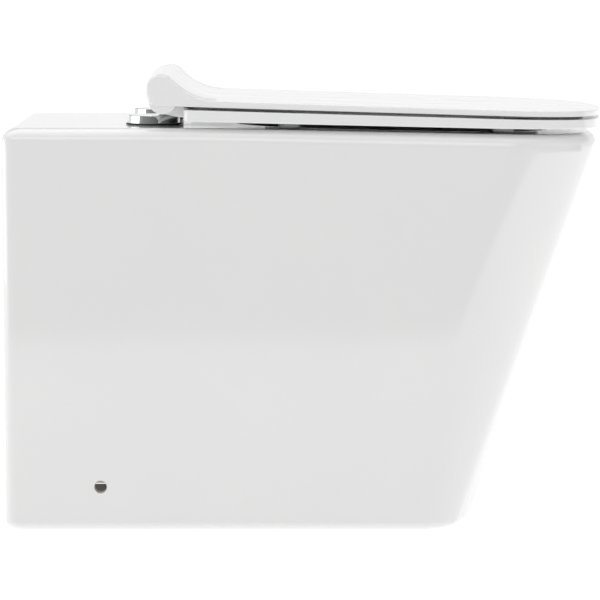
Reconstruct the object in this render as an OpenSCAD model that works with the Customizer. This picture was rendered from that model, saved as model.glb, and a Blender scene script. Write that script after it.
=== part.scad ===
// Back to wall toilet: ceramic pan, seat and lid on soft-close hinges.
// +X runs from the wall to the front, +Z is up, and the part stands on the floor at Z = 0.
// Each piece is drawn with X measured from the wall, then moved so that the origin is the
// middle of the floor that the whole part covers.

/* [Pan] */
// Depth of the pan from the wall to its front
pan_l = 600; // [560:1:640]
// Width of the pan
pan_w = 360; // [345:1:380]
// Height of the rear shelf above the floor
pan_h = 400; // [390:1:430]
// How far the front leans back, in degrees from upright
front_lean = 18.6; // [12:0.2:20]
// How far the foot of the back edge stands off the wall
back_lean = 2.7; // [0:0.1:5]
// Depth of the level rear shelf
shelf_l = 187; // [180:1:195]
// Fall of the rim from the shelf to the front
rim_fall = 8.3; // [4:0.1:12]
// Radius of the top edge
edge_r = 14; // [8:0.5:16]
// Radius of the foot edge
foot_r = 9; // [4:0.5:12]
// Radius of the upright back corners
back_r = 9; // [4:0.5:14]
// Corner radius of the front at the floor
foot_corner_r = 48; // [35:1:70]
// Corner radius of the front at the rim
rim_corner_r = 100; // [80:1:110]
// Bow radius of the front, seen from above
front_bow_r = 500; // [450:10:900]
// Thickness of the side and front walls
wall = 14; // [10:0.5:16]
// Thickness of the shelf and the rim
shelf_t = 18; // [14:0.5:24]

/* [Bowl and waste] */
// Length of the bowl opening
bowl_l = 318; // [300:1:330]
// Width of the bowl opening
bowl_w = 256; // [240:1:270]
// Ceramic left between the bowl opening and the front
rim_front = 52; // [45:1:60]
// Thickness of the bowl
bowl_t = 10; // [7:0.5:12]
// Height of the bottom of the bowl, where the sump starts
sump_z = 118; // [105:1:130]
// Radius of the sump and the trapway
trap_r = 28; // [24:0.5:30]
// Thickness of the trapway
trap_t = 9; // [6:0.5:9]
// Distance of the sump from the wall
sump_x = 335; // [325:1:345]
// Height of the centre of the lower bend
dip_z = 80; // [76:1:90]
// Height of the centre of the outlet
outlet_z = 185; // [175:1:195]
// Outside radius of the outlet spigot
outlet_r = 51; // [45:0.5:55]
// Distance of the outlet's end from the wall
outlet_x = 60; // [40:1:80]
// Length of the outlet spigot
outlet_l = 80; // [70:1:90]
// Wall of the outlet spigot
outlet_t = 9; // [7:0.5:12]
// Height of the centre of the flush inlet
inlet_z = 330; // [320:1:335]
// Radius of the socket of the flush inlet
inlet_r = 30; // [26:0.5:32]
// Depth of the socket of the flush inlet
inlet_l = 45; // [35:1:60]
// Wall round the socket of the flush inlet
inlet_t = 9; // [7:0.5:10]
// Distance of the socket's mouth from the wall
inlet_x = 120; // [100:1:125]
// Radius of the water way from the socket to the bowl
inlet_way_r = 18; // [14:0.5:20]
// Radius of the flush pipe that the seal takes
flush_pipe_r = 22.5; // [20:0.5:24]
// Thickness of the seal's outer lip
seal_lip_t = 4; // [2:0.5:6]
// Overlap of the seal's outer lip on the socket's mouth
seal_lip_w = 5; // [3:0.5:7]

/* [Fixings] */
// Radius of the side fixing holes
side_hole_r = 6; // [4:0.5:8]
// Distance of the side fixing holes from the wall
side_hole_x = 97; // [70:1:120]
// Height of the side fixing holes
side_hole_z = 43.4; // [30:0.2:60]
// Distance between the two seat fixing holes
seat_hole_pitch = 155; // [150:1:160]
// Distance of the seat fixing holes from the wall
seat_hole_x = 147.4; // [140:0.2:150]
// Radius of the seat fixing holes
seat_hole_r = 8; // [7:0.5:10]
// Radius of the seat bolts
bolt_r = 4; // [3:0.5:4]
// Length of the seat bolts below the base plate
bolt_l = 55; // [50:1:80]
// Height of the bolt heads
bolt_head_t = 2.6; // [2:0.1:3]
// Radius of the bolt heads
bolt_head_r = 6.5; // [5.5:0.5:6.5]
// Radius of the washers under the shelf
washer_r = 13; // [11:0.5:16]
// Thickness of the washers under the shelf
washer_t = 2; // [1:0.5:3]
// Radius of the body of a wing nut
nut_r = 8; // [7:0.5:9]
// Height of a wing nut
nut_h = 12; // [8:0.5:14]
// Span of a wing nut over both wings
nut_span = 40; // [30:1:46]

/* [Hinges] */
// Radius of the chrome covers
cover_r = 26.5; // [24:0.5:28]
// Height of the chrome covers
cover_h = 8.4; // [8:0.1:9]
// Thickness of the chrome covers
cover_t = 1.2; // [0.8:0.1:1.4]
// Radius of the gaskets
gasket_r = 28.2; // [27:0.2:30]
// Thickness of the gaskets
gasket_t = 1; // [0.5:0.1:1.5]
// Thickness of the base plates
base_t = 3; // [2:0.1:3.2]
// Distance of the hinge axis from the wall
axis_x = 159.3; // [158:0.1:161]
// Height of the hinge axis above the rear shelf
axis_h = 27.6; // [27:0.1:29]
// Radius of the seat's barrels and of the hinge blocks
barrel_r = 14.1; // [13:0.1:14.4]
// Radius of the posts
post_r = 5; // [4:0.1:5.2]
// Height of the posts above the hinge axis
post_rise = 7; // [5:0.5:8]
// Length of a hinge block
block_l = 40; // [38:1:42]
// Radius of the foot of a hinge block
block_foot_r = 7.5; // [7:0.1:8]
// Radius of the damper shafts
shaft_r = 4; // [3:0.1:4.5]
// Length of a damper shaft outside its hinge block
shaft_reach = 38; // [30:1:40]
// Length of a damper shaft inside its hinge block
shaft_grip = 11; // [8:0.5:12]
// Radius of the dampers
damper_r = 8; // [7:0.1:9]
// Length of the dampers
damper_l = 46; // [44:1:47]
// Width of a release button
button_w = 12; // [9:0.5:14]
// Height of a release button
button_h = 7.6; // [6:0.2:9]
// Thickness of a release button
button_t = 3.6; // [3:0.1:4]
// Travel of a release button
button_travel = 2.5; // [1.5:0.1:2.6]

/* [Seat] */
// Width of the seat
seat_w = 354; // [348:1:360]
// How far the seat and the lid reach past the front of the pan
overhang = 2.6; // [0:0.2:8]
// Distance of the seat's rear edge from the wall
seat_x = 180; // [179:1:186]
// Thickness of the seat at the back
seat_t = 11.5; // [9:0.1:12]
// Thickness of the seat at the front
seat_tip_t = 8.8; // [7:0.1:10]
// Gap from the shelf to the seat at the back
seat_gap = 6.6; // [5:0.1:7]
// Gap from the rim to the seat at the front
seat_tip_gap = 5.4; // [4:0.1:7]
// Length of the opening in the seat
seat_open_l = 281; // [260:1:290]
// Width of the opening in the seat
seat_open_w = 236; // [220:1:250]
// Width of the seat in front of its opening
seat_front = 62; // [56:1:70]
// Front corner radius of the seat and the lid
seat_corner_r = 100; // [80:1:110]
// Radius of the seat's rear corners
seat_back_r = 8; // [4:0.5:12]
// Length of each barrel of the seat
barrel_l = 73; // [70:0.5:73]
// Length of each neck between barrel and seat
neck_l = 62; // [50:1:66]
// Length of a seat buffer
buffer_l = 22; // [16:1:26]
// Width of a seat buffer
buffer_w = 12; // [8:0.5:14]
// Distance of the rear seat buffers from the wall
seat_buffer_rear_x = 285; // [280:1:320]
// Distance of the front seat buffers from the wall
seat_buffer_front_x = 498; // [480:1:505]
// Distance of the seat buffers from the middle
seat_buffer_y = 142; // [138:1:148]

/* [Lid] */
// Width of the lid
lid_w = 350; // [346:1:352]
// Gap from the seat to the lid at the back
lid_gap = 2.1; // [1.6:0.1:3]
// Gap from the seat to the lid at the front
lid_tip_gap = 2.7; // [2:0.1:4]
// Thickness of the lid behind the hump
lid_t = 7.6; // [6:0.1:9]
// Thickness of the lid at the front
lid_tip_t = 5.8; // [5:0.1:8]
// Radius of the crest of the hump
hump_r = 14.8; // [14:0.1:15]
// Distance of the centre of the crest behind the hinge axis
hump_back = 1.5; // [0.5:0.1:2]
// Height of the centre of the crest above the hinge axis
hump_rise = 9.9; // [9:0.1:10.5]
// Radius of the hollow that runs from the hump down to the plate
hump_sweep_r = 60; // [50:1:70]
// Height of the lid's free rear edge above the hinge axis
lid_lip_h = 10.2; // [10:0.1:11]
// How far the lid's lower rear edge is drawn in under the hump
lid_tuck = 4.4; // [3:0.1:6]
// Radius of the lid's rear corners
lid_back_r = 3; // [1:0.5:5]
// Distance of the rear lid buffers from the wall
lid_buffer_rear_x = 233; // [215:1:245]
// Distance of the rear lid buffers from the middle
lid_buffer_rear_y = 150; // [100:1:155]
// Distance of the front lid buffers from the wall
lid_buffer_front_x = 526; // [510:1:540]
// Distance of the front lid buffers from the middle
lid_buffer_front_y = 104; // [95:1:120]

/* [Fits] */
// Radial clearance of shafts, posts, plugs and dampers
fit = 0.05; // [0.02:0.01:0.1]
// Clearance between pieces that only pass each other
gap = 0.5; // [0.3:0.05:0.6]
// Clearance under pieces that rest on another body
rest_gap = 0.3; // [0.2:0.05:0.4]
// Clearance round a release button in its pocket
button_gap = 0.2; // [0.1:0.05:0.3]

/* [Hidden] */
$fn = 64;
// steps of the bowl's depth, and points round the bowl and round the seat's opening
BOWL_STEPS = 7;
BOWL_POINTS = 40;
OPEN_POINTS = 72;
// steps of the wide and of the tight curves of an outline
WIDE_STEPS = 4;
CORNER_STEPS = 12;
// power that makes an oval's corners fuller than an ellipse's
OVAL_POWER = 0.8;
// how far the ball at a bend of the trapway stands out of the tubes that meet there
BEND_OVER = 0.3;
// angle at which the hump's crest ends, behind the lid
HUMP_END = 190;
// thickness of a sheet that only shapes a hull, and reach of a cut past its face
SKIN = 0.01;
OVER = 1;
overall_l = pan_l + overhang;
hole_y = seat_hole_pitch / 2;
// slopes of the rim and of the faces of seat and lid, as fall per millimetre of depth
tip_x = overall_l;
rim_tip_z = pan_h - rim_fall;
rim_slope = rim_fall / (pan_l - shelf_l);
seat_low_back = pan_h + seat_gap;
seat_low_tip = rim_tip_z + seat_tip_gap;
lid_low_back = seat_low_back + seat_t + lid_gap;
lid_low_tip = seat_low_tip + seat_tip_t + lid_tip_gap;
axis_z = pan_h + axis_h;
// the leaning front face, as depth at a height
face_tan = tan(front_lean);
edge_z = rim_tip_z - edge_r;
face_foot = pan_l - edge_r + edge_r / cos(front_lean) - face_tan * edge_z;
// where the flat side walls end, a little behind the round corners of the front
side_end = face_foot - 1.5 * foot_corner_r;
// hinge stack, upwards from the shelf
base_z = pan_h + gasket_t;
base_top = base_z + base_t;
cover_top = base_z + cover_h;
base_r = cover_r - cover_t - fit;
post_top = axis_z + post_rise;
block_in = hole_y - block_l / 2;
block_out = hole_y + block_l / 2;
barrel_in = block_out + gap;
barrel_out = barrel_in + barrel_l;
lid_core = block_in - gap;
lid_cap_in = barrel_out + gap;
// the flat of a release button, behind the hinge axis
button_face = sqrt(pow(barrel_r, 2) - pow(button_h / 2, 2));
// shapes of the lid's hump
hump_x = axis_x - hump_back;
lid_rear = hump_x - hump_r;
hump_z = axis_z + hump_rise;
lid_top_back = lid_low_back + lid_t;
lid_top_tip = lid_low_tip + lid_tip_t;
lid_top_slope = (lid_top_back - lid_top_tip) / (tip_x - seat_x);

// height of a plane that falls in a straight line from the back to the tip of seat and lid
function fall(x, back, tip) = back + (tip - back) * (x - seat_x) / (tip_x - seat_x);
function rim_z(x) = pan_h - rim_slope * max(0, x - shelf_l);
function face_x(z) = face_foot + face_tan * z;
function arc(x, y, r, from, to, n) =
    [for (i = [0:n]) let (a = from + (to - from) * i / n) [x + r * cos(a), y + r * sin(a)]];
function mirrored(half) = concat(half, [for (i = [len(half) - 1:-1:0]) [half[i][0], -half[i][1]]]);
// D shape seen from above: bowed front, round front corners, straight sides and back
function d_shape(back, front, half, corner, rear) =
    let (
        bow = front_bow_r,
        side = half - corner,
        turn = asin(side / (bow - corner)),
        x = front - bow + (bow - corner) * cos(turn)
    )
    mirrored(concat(
        arc(front - bow, 0, bow, 0, turn, WIDE_STEPS),
        arc(x, side, corner, turn, 90, CORNER_STEPS),
        arc(back + rear, half - rear, rear, 90, 180, WIDE_STEPS)
    ));
// oval with fuller corners than an ellipse
function oval(x, a, b, n) =
    [for (i = [0:n - 1])
        let (t = 360 * i / n, c = cos(t), s = sin(t))
        [x + a * sign(c) * pow(abs(c), OVAL_POWER), b * sign(s) * pow(abs(s), OVAL_POWER)]];

module from_wall() {
    translate([-overall_l / 2, 0, 0]) children();
}

module sheet(points, z) {
    translate([0, 0, z]) linear_extrude(SKIN) polygon(points);
}

// a thin sheet that falls with the rim in front of the shelf
module rim_sheet(points, depth) {
    translate([shelf_l, 0, pan_h - depth])
        rotate([0, atan(rim_slope), 0])
        translate([-shelf_l, 0, -SKIN])
        linear_extrude(SKIN) polygon(points);
}

// corner radius of the front at a height
function corner_at(z) = foot_corner_r + (rim_corner_r - foot_corner_r) * z / pan_h;

module pan_foot_sheet(a) {
    z = foot_r * (1 + sin(a));
    inset = foot_r * (1 - cos(a));
    arc_x = face_x(foot_r) - foot_r / cos(front_lean) + foot_r * cos(a);
    front = a < -front_lean ? arc_x : face_x(z);
    back = back_lean * (1 - z / pan_h) + inset;
    sheet(d_shape(back, front, pan_w / 2 - inset, corner_at(z) - inset, back_r), z);
}

module pan_edge_sheets(a) {
    depth = edge_r * (1 - sin(a));
    inset = a < 0 ? 0 : edge_r * (1 - cos(a));
    front = face_x(edge_z) - edge_r / cos(front_lean) + edge_r * cos(a);
    half = pan_w / 2 - inset;
    rim_sheet(d_shape(shelf_l, front, half, rim_corner_r - inset, SKIN), depth);
    back = back_lean * depth / pan_h + inset;
    square_back = [[shelf_l, -half], [shelf_l, half]];
    sheet(concat(
        square_back,
        arc(back + back_r, half - back_r, back_r, 90, 180, WIDE_STEPS),
        arc(back + back_r, back_r - half, back_r, 180, 270, WIDE_STEPS)
    ), pan_h - depth - SKIN);
}

module pan_outside() {
    hull() {
        for (a = [-90:15:0]) pan_foot_sheet(a);
        for (a = [0:15:90]) pan_edge_sheets(a);
        pan_edge_sheets(-front_lean);
    }
}

// space inside the skirt, open to the floor and to the wall; it reaches past the underside of the
// shelf and the rim, where the walls end
module pan_hollow() {
    half = pan_w / 2 - wall;
    lean_wall = wall / cos(front_lean);
    depth = shelf_t - OVER;
    low_x = face_x(-OVER) - lean_wall;
    top_x = face_x(rim_tip_z - depth) - lean_wall;
    hull() {
        sheet(d_shape(-OVER, low_x, half, foot_corner_r - wall, SKIN), -OVER);
        rim_sheet(d_shape(shelf_l, top_x, half, rim_corner_r - wall, SKIN), depth);
        translate([-OVER, -half, 0]) cube([shelf_l + OVER, 2 * half, pan_h - depth]);
    }
}

bowl_x = pan_l - rim_front - bowl_l / 2;
module bowl_body(grow, top) {
    hull() {
        for (i = [0:BOWL_STEPS]) {
            turn = 90 * i / BOWL_STEPS;
            k = sin(turn);
            a = trap_r + (bowl_l / 2 - trap_r) * k + grow;
            b = trap_r + (bowl_w / 2 - trap_r) * k + grow;
            x = sump_x + (bowl_x - sump_x) * k;
            z = sump_z - grow + (top + grow - sump_z) * (1 - cos(turn));
            sheet(oval(x, a, b, BOWL_POINTS), z - SKIN);
        }
    }
}

// bends of the trapway: how far behind the sump each one lies, and how far above the dip
DIP_ENTRY = [0, 14];
DIP_BOTTOM = [34, 0];
DIP_EXIT = [82, 8];
LEG_FOOT = [114, 36];
// the far leg's top and the run's end: how far past the spigot's inner end, and how far below it
LEG_TOP = [26, 14];
RUN_END = [-8, 0];
RUN_START = 12; // height of the run's start over the sump's floor

function past_sump(bend) = [sump_x - bend[0], dip_z + bend[1]];
function past_spigot(bend) = [outlet_x + outlet_l + bend[0], outlet_z - bend[1]];

// centre line of the trapway: down from the bowl, under the dip, up the far leg, into the spigot
TRAP = [[sump_x, sump_z + RUN_START], past_sump(DIP_ENTRY), past_sump(DIP_BOTTOM),
    past_sump(DIP_EXIT), past_sump(LEG_FOOT), past_spigot(LEG_TOP), past_spigot(RUN_END)];

module trap_run(r) {
    for (i = [0:len(TRAP) - 2]) {
        run = TRAP[i + 1] - TRAP[i];
        translate([TRAP[i][0], 0, TRAP[i][1]]) rotate([0, 90 - atan2(run[1], run[0]), 0]) {
            cylinder(h = norm(run), r = r);
            if (i > 0) sphere(r = r + BEND_OVER);
        }
    }
}

module along_x(x, z) {
    translate([x, 0, z]) rotate([0, 90, 0]) children();
}

// the casting is drawn as seven pieces that touch and never overlap: the top, the two sides and
// the front of the outer pan, then the bowl, the trapway and the flush inlet inside it
boss_l = bowl_x - bowl_l / 2 - inlet_x;
module inlet_way() {
    along_x(inlet_x, inlet_z) cylinder(h = boss_l + wall, r = inlet_way_r);
}

// everything above the underside of the shelf and the rim
module over_skirt() {
    low = pan_h - shelf_t;
    across(pan_w, [[-OVER, low], [shelf_l, low], [pan_l, low - rim_fall], [pan_l, 2 * pan_h],
        [-OVER, 2 * pan_h]]);
}

// the shelf and the rim, with the bowl's mouth and the seat fixing holes
module pan_top() {
    color("white") from_wall() difference() {
        intersection() {
            pan_outside();
            over_skirt();
        }
        bowl_body(0, pan_h + OVER);
        for (side = [-1, 1]) {
            translate([seat_hole_x, side * hole_y, pan_h - 2 * shelf_t])
                cylinder(h = 3 * shelf_t, r = seat_hole_r);
        }
    }
}

// one flat side wall with its fixing hole
module pan_side(side) {
    color("#fafaf8") from_wall() difference() {
        intersection() {
            pan_outside();
            translate([-OVER, side * pan_w / 2 - pan_w / 4, -OVER])
                cube([side_end + OVER, pan_w / 2, pan_h]);
        }
        pan_hollow();
        over_skirt();
        translate([side_hole_x, side * (pan_w / 2 - wall / 2), side_hole_z])
            rotate([90, 0, 0])
            cylinder(h = 2 * wall, r = side_hole_r, center = true);
    }
}

// the leaning front wall with its round corners
module pan_front() {
    color("#f7f7f5") from_wall() difference() {
        intersection() {
            pan_outside();
            translate([side_end, -pan_w, -OVER]) cube([pan_l, 2 * pan_w, pan_h]);
        }
        pan_hollow();
        over_skirt();
    }
}

// the bowl hangs from the underside of the rim
module pan_bowl() {
    color("#f4f4f2") from_wall() difference() {
        bowl_body(bowl_t, pan_h);
        bowl_body(0, pan_h + OVER);
        trap_run(trap_r);
        inlet_way();
        over_skirt();
    }
}

module pan_trap() {
    color("#ececea") from_wall() difference() {
        union() {
            trap_run(trap_r + trap_t);
            along_x(outlet_x, outlet_z) cylinder(h = outlet_l, r = outlet_r);
        }
        bowl_body(bowl_t, pan_h);
        trap_run(trap_r);
        along_x(outlet_x - OVER, outlet_z) cylinder(h = outlet_l - bowl_t, r = outlet_r - outlet_t);
    }
}

module pan_inlet() {
    color("#e8e8e6") from_wall() difference() {
        along_x(inlet_x, inlet_z) cylinder(h = boss_l + bowl_t, r = inlet_r + inlet_t);
        bowl_body(bowl_t, pan_h);
        along_x(inlet_x - OVER, inlet_z) cylinder(h = inlet_l + OVER, r = inlet_r);
        inlet_way();
    }
}

module inlet_seal() {
    color("dimgray") from_wall() difference() {
        union() {
            along_x(inlet_x - seal_lip_t, inlet_z) cylinder(h = seal_lip_t, r = inlet_r + seal_lip_w);
            along_x(inlet_x - OVER, inlet_z) cylinder(h = inlet_l - OVER, r = inlet_r - fit);
        }
        along_x(inlet_x - 2 * seal_lip_t, inlet_z) cylinder(h = 2 * inlet_l, r = flush_pipe_r);
    }
}

// places a piece at the left (-Y) or right (+Y) seat hole, at a height
module at_hole(side, z) {
    from_wall() translate([seat_hole_x, side * hole_y, z]) children();
}

module hinge_gasket(side) {
    color("#333333") at_hole(side, pan_h) difference() {
        cylinder(h = gasket_t, r = gasket_r);
        translate([0, 0, -OVER]) cylinder(h = gasket_t + 2 * OVER, r = bolt_r + fit);
    }
}

module hinge_base(side) {
    color("silver") at_hole(side, base_z) difference() {
        cylinder(h = base_t, r = base_r);
        translate([0, 0, -OVER]) cylinder(h = base_t + 2 * OVER, r = bolt_r + fit);
        translate([axis_x - seat_hole_x, 0, -OVER]) cylinder(h = base_t + 2 * OVER, r = post_r + fit);
    }
}

module hinge_post(side) {
    color("silver") at_hole(side, base_z) translate([axis_x - seat_hole_x, 0, 0])
        cylinder(h = post_top - base_z, r = post_r);
}

module hinge_cover(side) {
    color("#d8dadc") at_hole(side, base_z) difference() {
        cylinder(h = cover_h, r = cover_r);
        translate([0, 0, -OVER]) cylinder(h = cover_h - cover_t + OVER, r = cover_r - cover_t);
        translate([axis_x - seat_hole_x, 0, 0]) cylinder(h = cover_h + OVER, r = post_r + gap);
    }
}

module seat_bolt(side) {
    color("silver") at_hole(side, base_top) {
        cylinder(h = bolt_head_t, r = bolt_head_r);
        translate([0, 0, -base_t - bolt_l]) cylinder(h = base_t + bolt_l, r = bolt_r);
    }
}

module bolt_sleeve(side) {
    color("#333333") at_hole(side, pan_h - shelf_t) difference() {
        cylinder(h = shelf_t, r = seat_hole_r - fit);
        translate([0, 0, -OVER]) cylinder(h = shelf_t + 2 * OVER, r = bolt_r + fit);
    }
}

module bolt_washer(side) {
    color("#444444") at_hole(side, pan_h - shelf_t - washer_t) difference() {
        cylinder(h = washer_t, r = washer_r);
        translate([0, 0, -OVER]) cylinder(h = washer_t + 2 * OVER, r = bolt_r + fit);
    }
}

module wing_nut(side) {
    wing_t = bolt_r;
    color("#e8e8e4") at_hole(side, pan_h - shelf_t - washer_t - nut_h) difference() {
        union() {
            cylinder(h = nut_h, r = nut_r);
            for (turn = [0, 180]) {
                rotate([90, 0, turn])
                    linear_extrude(wing_t, center = true)
                    polygon([[0, nut_h - OVER], [nut_r, nut_h - OVER], [nut_span / 2, nut_h / 3],
                        [nut_span / 2, 0], [nut_span / 2 - nut_r, 0], [0, nut_h / 3]]);
            }
        }
        translate([0, 0, -OVER]) cylinder(h = nut_h + 2 * OVER, r = bolt_r + fit);
    }
}

// a cylinder along the hinge axis, from one distance off the centre line to another
module on_axis(side, from, to, r) {
    from_wall() translate([axis_x, side * from, axis_z])
        rotate([side * -90, 0, 0]) cylinder(h = to - from, r = r);
}

module hinge_block(side) {
    pocket_l = barrel_r + OVER - button_face + button_t + button_travel + gap;
    color("gainsboro") difference() {
        union() {
            on_axis(side, block_in, block_out, barrel_r);
            from_wall() translate([axis_x, side * hole_y, cover_top + rest_gap])
                cylinder(h = axis_h, r = block_foot_r);
        }
        from_wall() translate([axis_x, side * hole_y, pan_h])
            cylinder(h = post_top + rest_gap - pan_h, r = post_r + fit);
        on_axis(side, block_out - shaft_grip, block_out + OVER, shaft_r + fit);
        on_axis(side, block_in - OVER, block_in + shaft_grip, shaft_r + fit);
        from_wall() translate([axis_x - barrel_r - OVER, side * hole_y - button_w / 2, axis_z])
            translate([0, 0, -button_h / 2])
            cube([pocket_l, button_w, button_h]);
    }
}

module seat_shaft(side) {
    color("silver") on_axis(side, block_out - shaft_grip, block_out + shaft_reach, shaft_r);
}

module lid_shaft(side) {
    color("silver") on_axis(side, block_in - shaft_reach, block_in + shaft_grip, shaft_r);
}

module release_button(side) {
    w = button_w - 2 * button_gap;
    h = button_h - 2 * button_gap;
    color("#b8bcc0") from_wall()
        translate([axis_x - button_face, side * hole_y - w / 2, axis_z - h / 2])
        cube([button_t, w, h]);
}

module seat_damper(side) {
    color("#9a9da0") difference() {
        on_axis(side, barrel_in, barrel_in + damper_l, damper_r);
        on_axis(side, barrel_in - OVER, block_out + shaft_reach + gap, shaft_r + fit);
    }
}

module lid_damper(side) {
    color("#9a9da0") difference() {
        on_axis(side, lid_core - damper_l, lid_core, damper_r);
        on_axis(side, block_in - shaft_reach - gap, lid_core + OVER, shaft_r + fit);
    }
}

// a side profile, spread over the width
module across(half, profile) {
    translate([0, half, 0]) rotate([90, 0, 0]) linear_extrude(2 * half) polygon(profile);
}

function seat_shape() =
    d_shape(seat_x, tip_x, seat_w / 2, seat_corner_r, seat_back_r);
function slab_profile(low_back, low_tip, high_back, high_tip, from, to) = [
    [from, fall(from, low_back, low_tip)], [to, fall(to, low_back, low_tip)],
    [to, fall(to, high_back, high_tip)], [from, fall(from, high_back, high_tip)]];

module seat_ring() {
    low = [seat_low_back, seat_low_tip];
    high = [seat_low_back + seat_t, seat_low_tip + seat_tip_t];
    open_x = tip_x - seat_front - seat_open_l / 2;
    neck_in = seat_x + 2 * seat_back_r;
    neck_top = fall(seat_x, lid_low_back, lid_low_tip) - gap;
    neck = [[axis_x, axis_z - barrel_r], [seat_x, seat_low_back + seat_t / 4],
        [neck_in, fall(neck_in, low[0], low[1])], [neck_in, fall(neck_in, high[0], high[1])],
        [seat_x, neck_top], [axis_x, neck_top]];
    color("#fbfbfa") difference() {
        union() {
            from_wall() difference() {
                intersection() {
                    linear_extrude(2 * pan_h) polygon(seat_shape());
                    across(seat_w, slab_profile(low[0], low[1], high[0], high[1], seat_x, tip_x));
                }
                linear_extrude(2 * pan_h) polygon(oval(open_x, seat_open_l / 2, seat_open_w / 2, OPEN_POINTS));
            }
            for (side = [-1, 1]) {
                on_axis(side, barrel_in, barrel_out, barrel_r);
                from_wall() translate([0, side * (barrel_in + neck_l / 2), 0]) across(neck_l / 2, neck);
            }
        }
        for (side = [-1, 1]) {
            on_axis(side, barrel_in - OVER, barrel_in + damper_l + gap, damper_r + fit);
        }
    }
}

// a long buffer with round ends, from one height to another
module buffer(x, y, low, high) {
    straight = buffer_l - buffer_w;
    translate([x, y, low]) linear_extrude(high - low) union() {
        square([straight, buffer_w], center = true);
        for (end = [-1, 1]) translate([end * straight / 2, 0]) circle(d = buffer_w);
    }
}

module seat_buffers() {
    color("#e6e6e4") from_wall() difference() {
        for (side = [-1, 1]) {
            for (x = [seat_buffer_rear_x, seat_buffer_front_x]) {
                buffer(x, side * seat_buffer_y, rim_z(x) + rest_gap + buffer_l * rim_slope / 2,
                    fall(x, seat_low_back, seat_low_tip) + OVER);
            }
        }
        across(seat_w, slab_profile(seat_low_back, seat_low_tip, pan_h * 2, pan_h * 2, 0, tip_x));
    }
}

// profile of the lid: hump over the hinge, then the plate that thins to the tip
function lid_profile() =
    let (
        sweep_z = fall(hump_x + hump_sweep_r, lid_top_back, lid_top_tip) + hump_sweep_r,
        reach = hump_r + hump_sweep_r,
        up = sweep_z - hump_z,
        sweep_x = hump_x + sqrt(reach * reach - up * up),
        turn = asin(up / reach),
        flat = atan(lid_top_slope),
        low_x = lid_rear + lid_tuck
    )
    concat(
        [[low_x, fall(low_x, lid_low_back, lid_low_tip)],
            [tip_x, lid_low_tip], [tip_x, lid_top_tip]],
        arc(sweep_x, sweep_z, hump_sweep_r, 270 - flat, 180 + turn, CORNER_STEPS),
        arc(hump_x, hump_z, hump_r, turn, HUMP_END, CORNER_STEPS)
    );

module lid() {
    corner = seat_corner_r - (seat_w - lid_w) / 2;
    color("white") difference() {
        union() {
            from_wall() intersection() {
                across(lid_w, lid_profile());
                linear_extrude(2 * pan_h)
                    polygon(d_shape(lid_rear, tip_x, lid_w / 2, corner, lid_back_r));
            }
            on_axis(1, -lid_core, lid_core, barrel_r);
        }
        for (side = [-1, 1]) {
            on_axis(side, lid_core, lid_cap_in, barrel_r + gap);
            from_wall() translate([lid_rear - OVER, side * (lid_core + lid_cap_in) / 2, axis_z])
                translate([0, (lid_core - lid_cap_in) / 2, -2 * barrel_r])
                cube([axis_x - lid_rear + OVER, lid_cap_in - lid_core, 2 * barrel_r + lid_lip_h]);
            on_axis(side, lid_core - damper_l - gap, lid_core + OVER, damper_r + fit);
        }
    }
}

module lid_buffers() {
    places = [[lid_buffer_rear_x, lid_buffer_rear_y], [lid_buffer_front_x, lid_buffer_front_y]];
    color("#e6e6e4") from_wall() difference() {
        for (side = [-1, 1]) {
            for (place = places) {
                x = place[0];
                buffer(x, side * place[1],
                    fall(x - buffer_l / 2, seat_low_back + seat_t, seat_low_tip + seat_tip_t) + rest_gap,
                    fall(x, lid_low_back, lid_low_tip) + OVER);
            }
        }
        across(lid_w, slab_profile(lid_low_back, lid_low_tip, pan_h * 2, pan_h * 2, 0, tip_x));
    }
}

pan_top();
pan_side(-1);  // pan_side_left
pan_side(1);  // pan_side_right
pan_front();
pan_bowl();
pan_trap();
pan_inlet();
inlet_seal();
hinge_gasket(-1);  // hinge_gasket_left
hinge_gasket(1);  // hinge_gasket_right
hinge_base(-1);  // hinge_base_left
hinge_base(1);  // hinge_base_right
hinge_post(-1);  // hinge_post_left
hinge_post(1);  // hinge_post_right
hinge_cover(-1);  // hinge_cover_left
hinge_cover(1);  // hinge_cover_right
seat_bolt(-1);  // seat_bolt_left
seat_bolt(1);  // seat_bolt_right
bolt_sleeve(-1);  // bolt_sleeve_left
bolt_sleeve(1);  // bolt_sleeve_right
bolt_washer(-1);  // bolt_washer_left
bolt_washer(1);  // bolt_washer_right
wing_nut(-1);  // wing_nut_left
wing_nut(1);  // wing_nut_right
hinge_block(-1);  // hinge_block_left
hinge_block(1);  // hinge_block_right
seat_shaft(-1);  // seat_shaft_left
seat_shaft(1);  // seat_shaft_right
lid_shaft(-1);  // lid_shaft_left
lid_shaft(1);  // lid_shaft_right
release_button(-1);  // release_button_left
release_button(1);  // release_button_right
seat_damper(-1);  // seat_damper_left
seat_damper(1);  // seat_damper_right
lid_damper(-1);  // lid_damper_left
lid_damper(1);  // lid_damper_right
seat_ring();
seat_buffers();
lid();
lid_buffers();
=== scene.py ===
"""A back to wall toilet in a plain white studio, dressed around its CAD frame.

The script follows the toilet as it is put together: the room, the ceramic pan, the rubber seal in
its flush inlet, the fixings at the two seat holes, the hinge blocks, the seat and the lid.
+X runs from the wall to the front, +Y to the right as seen from the front, and +Z is up, in metres.
"""

import math

import bmesh
import bpy
from mathutils import Matrix, Vector
from mathutils.bvhtree import BVHTree


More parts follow.
